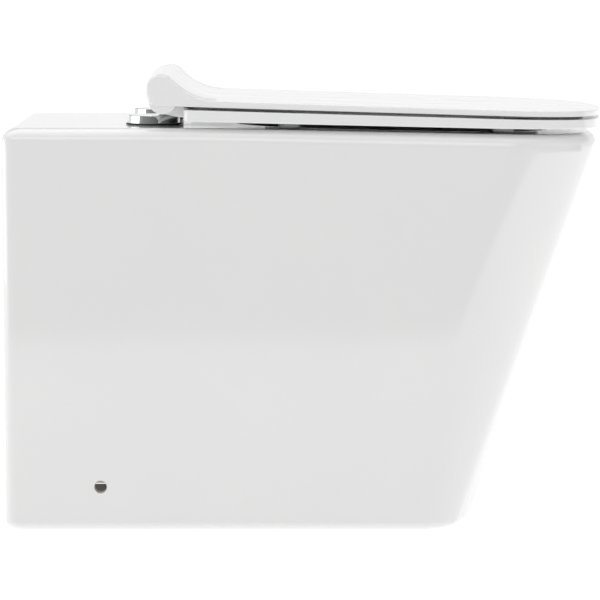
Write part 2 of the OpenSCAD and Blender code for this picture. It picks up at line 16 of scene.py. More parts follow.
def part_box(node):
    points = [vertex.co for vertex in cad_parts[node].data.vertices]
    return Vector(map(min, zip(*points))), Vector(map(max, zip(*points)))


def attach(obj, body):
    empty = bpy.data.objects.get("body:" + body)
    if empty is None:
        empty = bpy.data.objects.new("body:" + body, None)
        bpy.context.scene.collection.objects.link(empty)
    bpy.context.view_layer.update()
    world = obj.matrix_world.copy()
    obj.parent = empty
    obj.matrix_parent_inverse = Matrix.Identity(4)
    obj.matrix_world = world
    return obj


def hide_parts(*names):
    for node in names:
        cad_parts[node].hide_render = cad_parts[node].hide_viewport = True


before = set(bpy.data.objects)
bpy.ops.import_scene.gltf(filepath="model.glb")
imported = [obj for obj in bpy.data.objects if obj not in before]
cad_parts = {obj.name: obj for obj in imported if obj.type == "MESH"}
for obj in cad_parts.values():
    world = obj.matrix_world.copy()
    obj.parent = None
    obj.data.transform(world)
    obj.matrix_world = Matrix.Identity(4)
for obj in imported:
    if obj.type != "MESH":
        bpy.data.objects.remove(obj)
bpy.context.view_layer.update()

# ---------------------------------------------------------------------------------------------
# The room: a pale floor that runs out of sight, bright surroundings, and soft lamps above, beside
# and before the pan and on its wall side. The camera stands 4 m from the pan's left side and looks
# down a little, as the photograph's does.
picture_px = 600
side_scale = 0.0009865  # metres for a pixel on the side that faces the camera
side_distance = 4.0
sensor_mm = 36
camera_x = -0.0059
camera_z = 0.5949
camera_tilt = math.radians(5.21)
near_side_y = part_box("pan_side_left")[0].y


def placed(name, data):
    """A new object in the scene."""
    thing = bpy.data.objects.new(name, data)
    bpy.context.scene.collection.objects.link(thing)
    return thing


camera_data = bpy.data.cameras.new("camera")
camera_data.sensor_width = sensor_mm
camera_data.lens = sensor_mm * side_distance / (side_scale * picture_px)
camera_data.clip_end = 200
camera = placed("camera", camera_data)
camera.location = (camera_x, near_side_y - side_distance, camera_z)
camera.rotation_euler = (math.pi / 2 - camera_tilt, 0, 0)
bpy.context.scene.camera = camera
bpy.context.scene.view_settings.view_transform = "Standard"
bpy.context.scene.view_settings.look = "None"


def wired(tree, kind, inputs=None, **settings):
    """A node with these settings. An input takes a value, or a link from another node's output,
    where a node stands for its first one."""
    node = tree.nodes.new(kind)
    for key, value in settings.items():
        setattr(node, key, value)
    for key, value in (inputs or {}).items():
        if isinstance(value, bpy.types.Node):
            value = value.outputs[0]
        if isinstance(value, bpy.types.NodeSocket):
            tree.links.new(value, node.inputs[key])
        else:
            node.inputs[key].default_value = value
    return node


# the surroundings are pale at the horizon, greyer above it, brightest overhead, and dimmer on the
# camera's side
overhead_light = 2.0
camera_side_share = 0.33
horizon_share, haze_share = 0.45, 0.2
horizon_top, haze_low, haze_top, overhead = 0.14, 0.38, 0.64, 0.9
surroundings = bpy.data.worlds.new("surroundings")
surroundings.use_nodes = True
sky = surroundings.node_tree
sky_way = wired(sky, "ShaderNodeTexCoord").outputs["Generated"]
sky_parts = wired(sky, "ShaderNodeSeparateXYZ", {"Vector": sky_way}).outputs
sky_light = wired(sky, "ShaderNodeValToRGB", {"Fac": sky_parts["Z"]})
sky_bands = sky_light.color_ramp.elements
sky_bands[0].position, sky_bands[1].position = horizon_top, overhead
for height in (haze_low, haze_top):
    sky_bands.new(height)
for band, share in zip(sky_bands, (horizon_share, haze_share, haze_share, 1.0)):
    band.color = (share, share, share, 1)
sky_side = wired(
    sky, "ShaderNodeMapRange",
    {
        "Value": sky_parts["Y"], "From Min": -0.8, "From Max": 0.3,
        "To Min": overhead_light * camera_side_share, "To Max": overhead_light
    },
    interpolation_type="SMOOTHSTEP"
)
background = sky.nodes["Background"].inputs
sky.links.new(sky_light.outputs["Color"], background["Color"])
sky.links.new(sky_side.outputs["Result"], background["Strength"])
bpy.context.scene.world = surroundings


def soft_lamp(name, place, aim, width, height, power):
    """A rectangular lamp at place that faces aim."""
    data = bpy.data.lights.new(name, "AREA")
    data.shape = "RECTANGLE"
    data.size, data.size_y, data.energy = width, height, power
    lamp = placed(name, data)
    lamp.location = place
    lamp.rotation_euler = (Vector(aim) - Vector(place)).to_track_quat("-Z", "Y").to_euler()


soft_lamp("lamp_above", (0.1, -0.4, 2.8), (0, 0, 0.4), 2.4, 2.4, 6)
soft_lamp("lamp_side", (0.1, -2.8, 2.2), (0, 0, 0.35), 2.4, 1.2, 15.5)
soft_lamp("lamp_front", (2.6, -0.9, 1.1), (0.1, 0, 0.3), 1.6, 1.6, 3)
soft_lamp("lamp_wall", (-2.8, -0.1, 0.7), (0, 0, 0.4), 2.4, 1.4, 17)


def painted(name, values):
    """A material with these values on its shader."""
    paint = bpy.data.materials.new(name)
    paint.use_nodes = True
    for key, value in values.items():
        paint.node_tree.nodes["Principled BSDF"].inputs[key].default_value = value
    return paint


def sheet(name, points, faces, paint):
    """A thin part of the room."""
    mesh = bpy.data.meshes.new(name)
    mesh.from_pydata(points, [], faces)
    mesh.materials.append(paint)
    return placed(name, mesh)


# the floor glows a little so that it stays white, but not where the pan stands over it
floor_size = 60
under_back, under_front, under_side = -0.29, 0.12, 0.16
floor_glow = 0.93


def corners_of(back, front, half):
    return [(back, -half, 0), (front, -half, 0), (front, half, 0), (back, half, 0)]


def floor_part(name, points, faces, glow):
    """A flat part of the floor, in pale paint."""
    paint = painted(
        name + "_paint",
        {
            "Base Color": (0.2, 0.2, 0.2, 1), "Roughness": 0.9, "Specular IOR Level": 0.1,
            "Emission Color": (1, 1, 1, 1), "Emission Strength": glow
        }
    )
    sheet(name, points, faces, paint)


outer = corners_of(-floor_size, floor_size, floor_size)
inner = corners_of(under_back, under_front, under_side)
around = [(i, (i + 1) % 4, 4 + (i + 1) % 4, 4 + i) for i in range(4)]
floor_part("floor", outer + inner, around, floor_glow)
floor_part("floor_under_pan", inner, [(0, 1, 2, 3)], 0)

# painted reflection: a sheet low down round the front and the camera's side, which only polished
# metal mirrors; it glows faintly, fading to nearly black round its length, and stands in for the
# room's light and dark in the chrome
glow_sheet_r, glow_sheet_h = 2.0, 0.8
glow_sheet_x, glow_sheet_y = -0.15, -0.08
glow_sheet_start, glow_sheet_end = math.radians(-140), math.radians(22)
painted_reflection_darkest = -55  # degrees at which it is darkest
glow_sheet_facets = 48
glow_sheet_points = []
for i in range(glow_sheet_facets + 1):
    turn = glow_sheet_start + (glow_sheet_end - glow_sheet_start) * i / glow_sheet_facets
    for z in (0.0, glow_sheet_h):
        glow_sheet_points.append(
            (glow_sheet_x + glow_sheet_r * math.cos(turn), glow_sheet_y + glow_sheet_r * math.sin(turn), z)
        )
glow_sheet_faces = [(2 * i, 2 * i + 2, 2 * i + 3, 2 * i + 1) for i in range(glow_sheet_facets)]
painted_reflection_paint = painted(
    "painted_reflection_paint", {"Base Color": (0.01, 0.01, 0.01, 1), "Emission Color": (1, 1, 1, 1)}
)
glow_sheet_tree = painted_reflection_paint.node_tree
glow_sheet_place = wired(glow_sheet_tree, "ShaderNodeTexCoord").outputs["Object"]
glow_sheet_turn = wired(
    glow_sheet_tree, "ShaderNodeTexGradient", {"Vector": glow_sheet_place}, gradient_type="RADIAL"
)
# the sheet's glow fades from faint at its start to nearly black at its darkest angle: a painted
# reflection for polished metal
painted_reflection_fade = wired(
    glow_sheet_tree, "ShaderNodeMapRange",
    {
        "Value": glow_sheet_turn.outputs["Fac"], "From Min": 0.5 + math.degrees(glow_sheet_start) / 360,
        "From Max": 0.5 + painted_reflection_darkest / 360, "To Min": 0.24, "To Max": 0.03
    }
)
glow_sheet_shader = glow_sheet_tree.nodes["Principled BSDF"].inputs
glow_sheet_tree.links.new(painted_reflection_fade.outputs["Result"], glow_sheet_shader["Emission Strength"])
painted_reflection_sheet = sheet("glowing_reflection_sheet", glow_sheet_points, glow_sheet_faces, painted_reflection_paint)
# seen by glossy rays alone, so the sheet lights nothing and casts no shade: it only paints
# reflections
for ray in ("camera", "diffuse", "shadow", "transmission"):
    setattr(painted_reflection_sheet, "visible_" + ray, False)

# ---------------------------------------------------------------------------------------------
# The pan: one slip-cast body, open to the wall and the floor behind and below, with the bowl, the
# trapway, the outlet spigot and the boss of the flush inlet cast in. White glaze covers what
# shows; the inside of the skirt and the foot are left as fired.
seat_tip_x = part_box("seat_ring")[1].x
wall_x = -seat_tip_x  # the frame's origin is midway between the wall and the seat's tip
pan_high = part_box("pan_top")[1]
pan_h = pan_high.z
pan_half = pan_high.y
pan_l = 0.600
front_lean = math.radians(18.6)
back_lean = 0.0027
shelf_l = 0.187
rim_fall = 0.0083
edge_r = 0.014
foot_r = 0.009
back_r = 0.009
foot_corner_r = 0.048
rim_corner_r = 0.100
front_bow_r = 0.500
pan_wall = 0.014
shelf_t = 0.018
rim_slope = rim_fall / (pan_l - shelf_l)
rim_tip_z = pan_h - rim_fall
crease_w = 0.012  # length over which the level shelf turns into the falling rim

bowl_l = 0.318
bowl_w = 0.256
bowl_x = pan_l - 0.052 - bowl_l / 2
bowl_lip_r = 0.007
bowl_t = 0.010
sump_x = 0.335
sump_z = 0.118
trap_r = 0.028
trap_t = 0.009
outlet_x = 0.060
outlet_l = 0.080
outlet_r = 0.051
outlet_t = 0.009
outlet_z = 0.185
dip_z = 0.080
inlet_z = 0.330
inlet_x = 0.120
inlet_r = 0.030
inlet_l = 0.045
inlet_t = 0.009
inlet_way_r = 0.018
inlet_boss_l = 0.130
outlet_place = (wall_x + outlet_x, 0, outlet_z)
inlet_place = (wall_x + inlet_x, 0, inlet_z)
seat_hole_x = 0.1474
seat_hole_y = 0.0775
seat_hole_r = 0.008
side_hole_x = 0.097
side_hole_z = 0.0434
side_hole_r = 0.006
glaze_edge_r = 0.0012  # glaze softens the edge of a side hole

# points in half an outline: front bow, front corner, side, back corner, back
BOW, CORNER, SIDE, BACK_CORNER, BACK = 12, 18, 34, 5, 16


def arc(x, y, r, start, end, steps):
    """Points on an arc, without its last one."""
    turns = [start + (end - start) * i / steps for i in range(steps)]
    return [(x + r * math.cos(t), y + r * math.sin(t)) for t in turns]


def outline(back, front, half, corner, rear):
    """A D seen from above, from the middle of the front round the left of the list and back."""
    corner = max(corner, 0.004)
    rear = max(rear, 0.0004)
    side = half - corner
    turn = math.asin(side / (front_bow_r - corner))
    corner_x = front - front_bow_r + (front_bow_r - corner) * math.cos(turn)
    right = arc(front - front_bow_r, 0, front_bow_r, 0, turn, BOW)
    right += arc(corner_x, side, corner, turn, math.pi / 2, CORNER)
    right += [
        (corner_x + (back + rear - corner_x) * math.sin(math.pi / 2 * i / SIDE) ** 0.9, half)
        for i in range(SIDE)
    ]
    right += arc(back + rear, half - rear, rear, math.pi / 2, math.pi, BACK_CORNER)
    right += [(back, (half - rear) * (1 - i / BACK)) for i in range(BACK)]
    return right + [(back, 0)] + [(x, -y) for x, y in reversed(right[1:])]


def oval_at(angle, a, b):
    """How far the bowl's oval reaches in a direction: its corners are fuller than an ellipse's."""
    power = 2.5
    c = abs(math.cos(angle)) / a
    s = abs(math.sin(angle)) / b
    return (c**power + s**power) ** (-1 / power)


def shelf_z(x):
    """Height of the pan's top at a distance from the wall."""
    past = x - shelf_l
    return pan_h - rim_slope * (past + math.hypot(past, crease_w)) / 2


def loft(name, rings, closed=False):
    """A skin through rings with the same number of points, capped at both ends or closed on itself.
    The rings' X is measured from the wall."""
    size = len(rings[0])
    points = [(x + wall_x, y, z) for ring in rings for x, y, z in ring]
    faces = []
    spans = len(rings) if closed else len(rings) - 1
    for k in range(spans):
        low, high = k * size, (k + 1) % len(rings) * size
        for i in range(size):
            j = (i + 1) % size
            faces.append((low + i, low + j, high + j, high + i))
    if not closed:
        faces.append(tuple(reversed(range(size))))
        faces.append(tuple((len(rings) - 1) * size + i for i in range(size)))
    return solid(name, points, faces)


def solid(name, points, faces, slivers=False):
    """A closed mesh whose faces point outwards; slivers are cleared away where there may be any."""
    mesh = bpy.data.meshes.new(name)
    build = bmesh.new()
    corners = [build.verts.new(p) for p in points]
    for face in faces:
        build.faces.new([corners[i] for i in face])
    bmesh.ops.remove_doubles(build, verts=build.verts, dist=1e-7)
    if slivers:
        bmesh.ops.dissolve_degenerate(build, edges=build.edges, dist=1e-8)
    bmesh.ops.recalc_face_normals(build, faces=build.faces)
    build.to_mesh(mesh)
    build.free()
    return placed(name, mesh)


def settle(piece):
    """Turns a piece with live modifiers into a plain mesh."""
    graph = bpy.context.evaluated_depsgraph_get()
    plain = bpy.data.meshes.new_from_object(piece.evaluated_get(graph))
    piece.modifiers.clear()
    piece.data = plain
    return piece


def change(piece, tool, way):
    """Cuts the tool out of the piece, or joins it on, and uses the tool up."""
    cut = piece.modifiers.new("change", "BOOLEAN")
    cut.solver = "MANIFOLD"
    cut.operation = way
    cut.object = tool
    settle(piece)
    bpy.data.objects.remove(tool)
    return piece


def together(name, parts):
    """Joins plain pieces into one mesh, each with its own material."""
    bpy.ops.object.select_all(action="DESELECT")
    for part in parts:
        part.select_set(True)
    bpy.context.view_layer.objects.active = parts[0]
    bpy.ops.object.join()
    parts[0].name = name
    return parts[0]


def shade(piece, sharp_deg=32):
    """Smooth faces with crisp edges where they meet at a steep angle."""
    piece.data.shade_smooth()
    piece.data.set_sharp_from_angle(angle=math.radians(sharp_deg))
    even = piece.modifiers.new("even", "WEIGHTED_NORMAL")
    even.keep_sharp = True
    return settle(piece)


def turned(name, profile, place, axis=(0, 0, 1), closed=False, steps=64):
    """A lathe piece: profile holds (radius, height) points up the axis from place. A closed profile
    goes round a bore, and an open one starts and ends on the axis."""
    turn = Vector((0, 0, 1)).rotation_difference(Vector(axis)).to_matrix()
    count = len(profile)
    points, faces = [], []
    for i in range(steps):
        angle = 2 * math.pi * i / steps
        for r, h in profile:
            points.append(
                Vector(place) + turn @ Vector((r * math.cos(angle), r * math.sin(angle), h))
            )
        here, there = i * count, (i + 1) % steps * count
        for k in range(count if closed else count - 1):
            n = (k + 1) % count
            faces.append((here + k, there + k, there + n, here + n))

    def length(one, other):
        return (points[one] - points[other]).length

    faces = [(a, b, c, d) for a, b, c, d in faces if length(a, b) + length(c, d) > 1e-9]
    return solid(name, points, faces, slivers=True)


def bored(piece, profile, place, axis=(0, 0, 1), steps=64):
    """Cuts a lathe tool out of a piece."""
    return change(piece, turned("bore", profile, place, axis, steps=steps), "DIFFERENCE")


def quarter(steps):
    """Pairs that run round a quarter circle: from (1, 0) to (0, 1)."""
    turns = [math.pi / 2 * i / steps for i in range(steps + 1)]
    return [(math.cos(turn), math.sin(turn)) for turn in turns]


def rounded(r, h, edge, steps=5):
    """The outer corner of a lathe profile at radius r and height h, rounded; edge is below 0 on top
    corners that turn from the side to the top, and above 0 on bottom corners."""
    size = abs(edge)
    top = edge < 0
    middle = h - size if top else h + size
    start = 0 if top else -math.pi / 2
    return [
        (
            r - size + size * math.cos(start + math.pi / 2 * i / steps),
            middle + size * math.sin(start + math.pi / 2 * i / steps)
        )
        for i in range(steps + 1)
    ]


def pan_ring(back, front, half, corner, height):
    """One ring of the pan's skin; height(x) is its height at a distance from the wall."""
    return [(x, y, height(x)) for x, y in outline(back, front, half, corner, back_r)]


face_tan = math.tan(front_lean)
edge_z = rim_tip_z - edge_r
face_foot = pan_l - edge_r + edge_r / math.cos(front_lean) - face_tan * edge_z


def face_x(z):
    """Where the leaning front is at a height."""
    return face_foot + face_tan * z


def foot_ring(angle):
    z = foot_r * (1 + math.sin(angle))
    inset = foot_r * (1 - math.cos(angle))
    front = face_x(z)
    if angle < -front_lean:
        front = face_x(foot_r) - foot_r / math.cos(front_lean) + foot_r * math.cos(angle)
    back = back_lean * (1 - z / pan_h) + inset
    corner = foot_corner_r + (rim_corner_r - foot_corner_r) * z / pan_h
    return pan_ring(back, front, pan_half - inset, corner - inset, lambda x: z)


def edge_ring(angle):
    depth = edge_r * (1 - math.sin(angle))
    inset = edge_r * (1 - math.cos(angle)) if angle > 0 else 0
    front = face_x(edge_z) - edge_r / math.cos(front_lean) + edge_r * math.cos(angle)
    back = back_lean * depth / pan_h + inset
    return pan_ring(
        back, front, pan_half - inset, rim_corner_r - inset, lambda x: shelf_z(x) - depth
    )


def between(one, other, share):
    """A ring part of the way from one ring to another."""
    return [tuple(p + (q - p) * share for p, q in zip(a, b)) for a, b in zip(one, other)]


foot_rings = [foot_ring(math.radians(a)) for a in range(-90, 1, 10)]
edge_rings = [edge_ring(-front_lean * (1 - i / 2)) for i in range(2)]
edge_rings += [edge_ring(math.radians(a)) for a in range(0, 91, 9)]
side_steps = 14
side_rings = [between(foot_rings[-1], edge_rings[0], i / side_steps) for i in range(1, side_steps)]
top_ring = edge_rings[-1]
aims = [math.atan2(y, x - bowl_x) for x, y, z in top_ring]


def bowl_ring(centre_x, a, b, height):
    points = [
        (centre_x + oval_at(t, a, b) * math.cos(t), oval_at(t, a, b) * math.sin(t))
        for t in aims
    ]
    return [(x, y, height(x)) for x, y in points]


lip_rings = []
for level, reach in quarter(8):
    grow = bowl_lip_r * (1 - reach)
    depth = bowl_lip_r * (1 - level)
    lip_rings.append(
        bowl_ring(bowl_x, bowl_l / 2 + grow, bowl_w / 2 + grow, lambda x: shelf_z(x) - depth)
    )
rim_rings = [between(top_ring, lip_rings[0], i / 9) for i in range(1, 9)]
bowl_rings = []
bowl_steps = 30
bowl_turn = math.radians(88.6)  # how far round its section goes, up from the sump
rim_mid_z = shelf_z(bowl_x)
for i in range(1, bowl_steps + 1):
    turn = bowl_turn * (1 - i / bowl_steps)
    share = math.sin(turn)
    a = trap_r + (bowl_l / 2 - trap_r) * share
    b = trap_r + (bowl_w / 2 - trap_r) * share
    level = sump_z + (rim_mid_z - sump_z) * (1 - math.cos(turn))
    tilt = max(0, 1 - i / 6)  # the first rings still fall with the rim
    bowl_rings.append(
        bowl_ring(
            sump_x + (bowl_x - sump_x) * share, a, b,
            lambda x: level + tilt * (shelf_z(x) - rim_mid_z) - bowl_lip_r * tilt
        )
    )
pan = loft("pan_casting", foot_rings + side_rings + edge_rings + rim_rings + lip_rings + bowl_rings)

trap_bends = [
    (sump_x, sump_z + 0.012), (sump_x - 0.001, dip_z + 0.022), (sump_x - 0.013, dip_z + 0.005),
    (sump_x - 0.036, dip_z - 0.001), (sump_x - 0.064, dip_z + 0.003),
    (sump_x - 0.090, dip_z + 0.015), (sump_x - 0.116, dip_z + 0.038),
    (outlet_x + outlet_l + 0.034, outlet_z - 0.022),
    (outlet_x + outlet_l + 0.008, outlet_z - 0.003), (outlet_x + outlet_l - 0.020, outlet_z)
]


def trap_tube(name, r, mouth):
    """A tube along the trapway. Above the path, mouth lists how much wider its rings are."""
    path = [Vector((x, 0, z)) for x, z in trap_bends]
    smooth = []
    for k in range(len(path) - 1):
        before = path[max(k - 1, 0)]
        after = path[min(k + 2, len(path) - 1)]
        for i in range(4):
            t = i / 4
            smooth.append(
                0.5 * (
                    2 * path[k] + (path[k + 1] - before) * t + (
                        2 * before - 5 * path[k] + 4 * path[k + 1] - after
                    ) * t**2 + (3 * path[k] - before - 3 * path[k + 1] + after) * t**3
                )
            )
    smooth.append(path[-1])
    rings = [
        [(sump_x + (r + more) * math.cos(t), (r + more) * math.sin(t), z) for t in round_turns]
        for more, z in mouth
    ]
    for k, centre in enumerate(smooth):
        ahead = (smooth[min(k + 1, len(smooth) - 1)] - smooth[max(k - 1, 0)]).normalized()
        across = Vector((0, 1, 0))
        up = across.cross(ahead)
        if centre.z < sump_z - 0.006 or not mouth:
            rings.append(
                [
                    tuple(centre - up * r * math.cos(t) + across * r * math.sin(t))
                    for t in round_turns
                ]
            )
    return loft(name, rings)


round_turns = [2 * math.pi * i / 48 for i in range(48)]
mouth_r = 0.010
mouth = [
    (mouth_r * (1 - reach), sump_z + 0.0008 - mouth_r * (1 - level))
    for level, reach in quarter(7)
]
trap_way = trap_tube("trap_way", trap_r - 0.0004, [(mouth_r + 0.0004, sump_z + 0.004)] + mouth)

# the cast bowl and trapway seen from below, softened where they run into each other
organs = loft(
    "organs",
    [
        bowl_ring(
            sump_x + (bowl_x - sump_x) * reach, trap_r + bowl_t + (bowl_l / 2 - trap_r) * reach,
            trap_r + bowl_t + (bowl_w / 2 - trap_r) * reach,
            lambda x: sump_z - bowl_t + (pan_h - sump_z) * (1 - level)
        )
        for level, reach in quarter(20)
    ]
)
trap_body = trap_tube("trap_body", trap_r + trap_t, [])
boss_r = inlet_r + inlet_t
boss = turned(
    "boss", [(0, 0), *rounded(boss_r, 0, 0.003), (boss_r, inlet_boss_l), (0, inlet_boss_l)],
    inlet_place, (1, 0, 0)
)
organs = together("organs", [organs, trap_body])
blend = organs.modifiers.new("cast", "REMESH")
blend.mode = "VOXEL"
blend.voxel_size = 0.005
soften = organs.modifiers.new("soften", "SMOOTH")
soften.factor = 0.5
soften.iterations = 12
settle(organs)
change(organs, boss, "UNION")
spigot = turned(
    "spigot",
    [
        (0, 0), *rounded(outlet_r - 0.001, 0, 0.002), (outlet_r - 0.001, 0.004), (outlet_r, 0.006),
        (outlet_r, outlet_l - 0.004), (outlet_r - 0.004, outlet_l), (0, outlet_l + 0.004)
    ],
    outlet_place, (1, 0, 0)
)
change(organs, spigot, "UNION")

hollow_half = pan_half - pan_wall
lean_wall = pan_wall / math.cos(front_lean)


def hollow_ring(z_mid, share, inset):
    corner = foot_corner_r + (rim_corner_r - foot_corner_r) * share - pan_wall - inset
    half = hollow_half - inset
    front = face_x(z_mid) - lean_wall - inset
    return [
        (x, y, z_mid + (shelf_z(x) - shelf_z(front)) * share)
        for x, y in outline(-0.01, front, half, corner, 0.0004)
    ]


roof_z = rim_tip_z - shelf_t
hollow_rings = [hollow_ring(-0.01, 0, 0)]
hollow_rings += [hollow_ring(roof_z * i / 10 - 0.01 * (1 - i / 10), i / 10, 0) for i in range(1, 9)]
fillet = 0.006
for level, reach in quarter(5):
    hollow_rings.append(hollow_ring(roof_z - fillet * (1 - reach), 1, fillet * (1 - level)))
hollow = loft("hollow", hollow_rings)
change(hollow, organs, "DIFFERENCE")
skin = BVHTree.FromObject(pan, bpy.context.evaluated_depsgraph_get())
way_skin = BVHTree.FromObject(trap_way, bpy.context.evaluated_depsgraph_get())
change(pan, hollow, "DIFFERENCE")
change(pan, trap_way, "DIFFERENCE")

outlet_way_r = outlet_r - outlet_t
bored(
    pan,
    [
        (0, -0.01), (outlet_way_r + 0.002, -0.01), (outlet_way_r + 0.002, 0), (outlet_way_r, 0.002),
        (outlet_way_r, outlet_l - 0.020), (trap_r, outlet_l - 0.008), (0, outlet_l - 0.004)
    ],
    outlet_place, (1, 0, 0)
)
bored(
    pan,
    [
        (0, -0.01), (inlet_r, -0.01), (inlet_r, inlet_l), (inlet_way_r, inlet_l + 0.004),
        (inlet_way_r, inlet_boss_l), (0, inlet_boss_l)
    ],
    inlet_place, (1, 0, 0)
)
for side in (-1, 1):
    flare = [
        (side_hole_r + glaze_edge_r * (1 - reach), glaze_edge_r * (level - 1))
        for level, reach in quarter(5)
    ]
    bored(
        pan,
        [(0, 0.004), (side_hole_r + glaze_edge_r, 0.004), *flare, (side_hole_r, -0.03), (0, -0.03)],
        (wall_x + side_hole_x, side * pan_half, side_hole_z), (0, side, 0), 48
    )
    bored(
        pan, [(0, 0.01), (seat_hole_r, 0.01), (seat_hole_r, -0.04), (0, -0.04)],
        (wall_x + seat_hole_x, side * seat_hole_y, pan_h), steps=48
    )


def new_group(name, kind, inputs, outputs):
    """A node group with these sockets; returns its tree, its inputs' sockets inside the tree and
    their identifiers."""
    tree = bpy.data.node_groups.new(name, kind)
    keys = {}
    for way, sockets in (("INPUT", inputs), ("OUTPUT", outputs)):
        for key, of in sockets.items():
            made = tree.interface.new_socket(key, in_out=way, socket_type="NodeSocket" + of)
            if way == "INPUT":
                keys[key] = made.identifier
    return tree, tree.nodes.new("NodeGroupInput").outputs, keys


# shared by the finishes: two sizes of cloudiness that shift a colour a little, make the gloss
# uneven and give a height for a bump
uneven, given, keys = new_group(
    "unevenness", "ShaderNodeTree",
    {
        "Color": "Color", "Second Color": "Color", "Cloud Scale": "Float", "Grain Scale": "Float",
        "Roughness": "Float", "Roughness Spread": "Float", "Grain Share": "Float"
    },
    {"Color": "Color", "Roughness": "Float", "Height": "Float"}
)
here = wired(uneven, "ShaderNodeTexCoord").outputs["Object"]
clouds, grain = (
    wired(uneven, "ShaderNodeTexNoise", {"Vector": here, "Scale": given[scale], "Detail": detail})
    for scale, detail in (("Cloud Scale", 3), ("Grain Scale", 2))
)
both = wired(
    uneven, "ShaderNodeMix", {"Factor": given["Grain Share"], "A": clouds, "B": grain}
).outputs["Result"]
spread = wired(uneven, "ShaderNodeMapRange", {"Value": both, "From Min": 0.3, "From Max": 0.7})
tint = wired(
    uneven, "ShaderNodeMix", {"Factor": spread, "A": given["Color"], "B": given["Second Color"]},
    data_type="RGBA"
)
rough = wired(
    uneven, "ShaderNodeMath", {0: spread, 1: given["Roughness Spread"], 2: given["Roughness"]},
    operation="MULTIPLY_ADD"
)
wired(
    uneven, "NodeGroupOutput", {"Color": tint.outputs["Result"], "Roughness": rough, "Height": both}
)


def finish(name, color, second, clouds, grain, rough, spread, share, bump, depth=0.001, **also):
    """A material whose colour, gloss and relief come from the unevenness group. Other values for
    its shader are named after their sockets."""
    material = painted(name, {key.replace("_", " "): value for key, value in also.items()})
    tree = material.node_tree
    wear = wired(
        tree, "ShaderNodeGroup",
        {
            "Color": (*color, 1), "Second Color": (*second, 1), "Cloud Scale": clouds,
            "Grain Scale": grain, "Roughness": rough, "Roughness Spread": spread,
            "Grain Share": share
        },
        node_tree=uneven
    ).outputs
    relief = wired(
        tree, "ShaderNodeBump", {"Strength": bump, "Distance": depth, "Height": wear["Height"]}
    )
    shader = tree.nodes["Principled BSDF"].inputs
    tree.links.new(wear["Color"], shader["Base Color"])
    tree.links.new(wear["Roughness"], shader["Roughness"])
    tree.links.new(relief.outputs["Normal"], shader["Normal"])
    return material


glaze = finish(
    "white_glaze", (0.865, 0.865, 0.86), (0.85, 0.852, 0.85), 9, 160, 0.07, 0.03, 0.12, 0.12,
    IOR=1.52, Coat_Weight=0.4, Coat_Roughness=0.03
)
bisque = finish(
    "bare_ceramic", (0.66, 0.63, 0.575), (0.60, 0.565, 0.51), 30, 700, 0.75, 0.15, 0.5, 0.35,
    Specular_IOR_Level=0.25
)
pan.data.materials.clear()
pan.data.materials.append(glaze)
pan.data.materials.append(bisque)
skin_reach = 0.0002
for face in pan.data.polygons:
    near_skin = skin.find_nearest(face.center, skin_reach)[0] is not None
    near_way = way_skin.find_nearest(face.center, skin_reach)[0] is not None
    on_floor = face.normal.z < -0.9 and face.center.z < 0.0005
    on_wall = face.normal.x < -0.9 and face.center.x < wall_x + 0.004
    face.material_index = 1 if on_floor or on_wall or not (near_skin or near_way) else 0
shade(pan)
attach(pan, "pan")
casting = [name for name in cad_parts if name.startswith("pan_")]
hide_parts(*casting)

# ---------------------------------------------------------------------------------------------
# The seal of the flush inlet: a moulded black rubber cup pushed into the boss on the back of the
# bowl. A wide lip stops it at the boss, and fins inside it grip the flush pipe.
seal_low, seal_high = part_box("inlet_seal")
seal_lip_r = seal_high.y
seal_lip_t = 0.004
seal_bore_r = 0.0225
seal_l = seal_high.x - seal_low.x
seal_r = inlet_r - 0.0004
seal_edge = 0.0009
fin_r, fin_count, fin_pitch = 0.0006, 4, 0.009


def finish_mesh(tree, given, geometry):
    """Ends a geometry nodes tree: real meshes, in the material it is given."""
    real = wired(tree, "GeometryNodeRealizeInstances", {"Geometry": geometry})
    paint = wired(
        tree, "GeometryNodeSetMaterial", {"Geometry": real, "Material": given["Material"]}
    )
    wired(tree, "NodeGroupOutput", {"Geometry": paint})


def grown(name, tree, keys, values):
    """A plain mesh made by a geometry nodes tree with these inputs."""
    piece = placed(name, bpy.data.meshes.new(name))
    grow = piece.modifiers.new("grow", "NODES")
    grow.node_group = tree
    for key, value in values.items():
        grow[keys[key]] = value
    return settle(piece)


def dress(piece, material, node, body, sharp_deg=32):
    """Gives a piece its material and hangs it on its CAD body in place of its node."""
    piece.data.materials.clear()
    piece.data.materials.append(material)
    piece.data.polygons.foreach_set("material_index", [0] * len(piece.data.polygons))
    shade(piece, sharp_deg)
    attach(piece, body)
    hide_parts(node)


# geometry nodes: rings of round section in a row, from a start and at a spacing along X
ring_tree, given, ring_keys = new_group(
    "rows_of_rings", "GeometryNodeTree",
    {
        "Ring Radius": "Float", "Section Radius": "Float", "Count": "Int", "Start": "Float",
        "Spacing": "Float", "Material": "Material"
    },
    {"Geometry": "Geometry"}
)
circle, section = (
    wired(
        ring_tree, "GeometryNodeCurvePrimitiveCircle",
        {"Resolution": steps, "Radius": given[radius]}
    )
    for radius, steps in (("Ring Radius", 64), ("Section Radius", 8))
)
sweep = wired(ring_tree, "GeometryNodeCurveToMesh", {"Curve": circle, "Profile Curve": section})
upright = wired(
    ring_tree, "GeometryNodeTransform", {"Geometry": sweep, "Rotation": (0, math.pi / 2, 0)}
)
start, spacing = (
    wired(ring_tree, "ShaderNodeCombineXYZ", {"X": given[length]})
    for length in ("Start", "Spacing")
)
row = wired(
    ring_tree, "GeometryNodeMeshLine",
    {"Count": given["Count"], "Start Location": start, "Offset": spacing}
)
rings = wired(ring_tree, "GeometryNodeInstanceOnPoints", {"Points": row, "Instance": upright})
finish_mesh(ring_tree, given, rings)

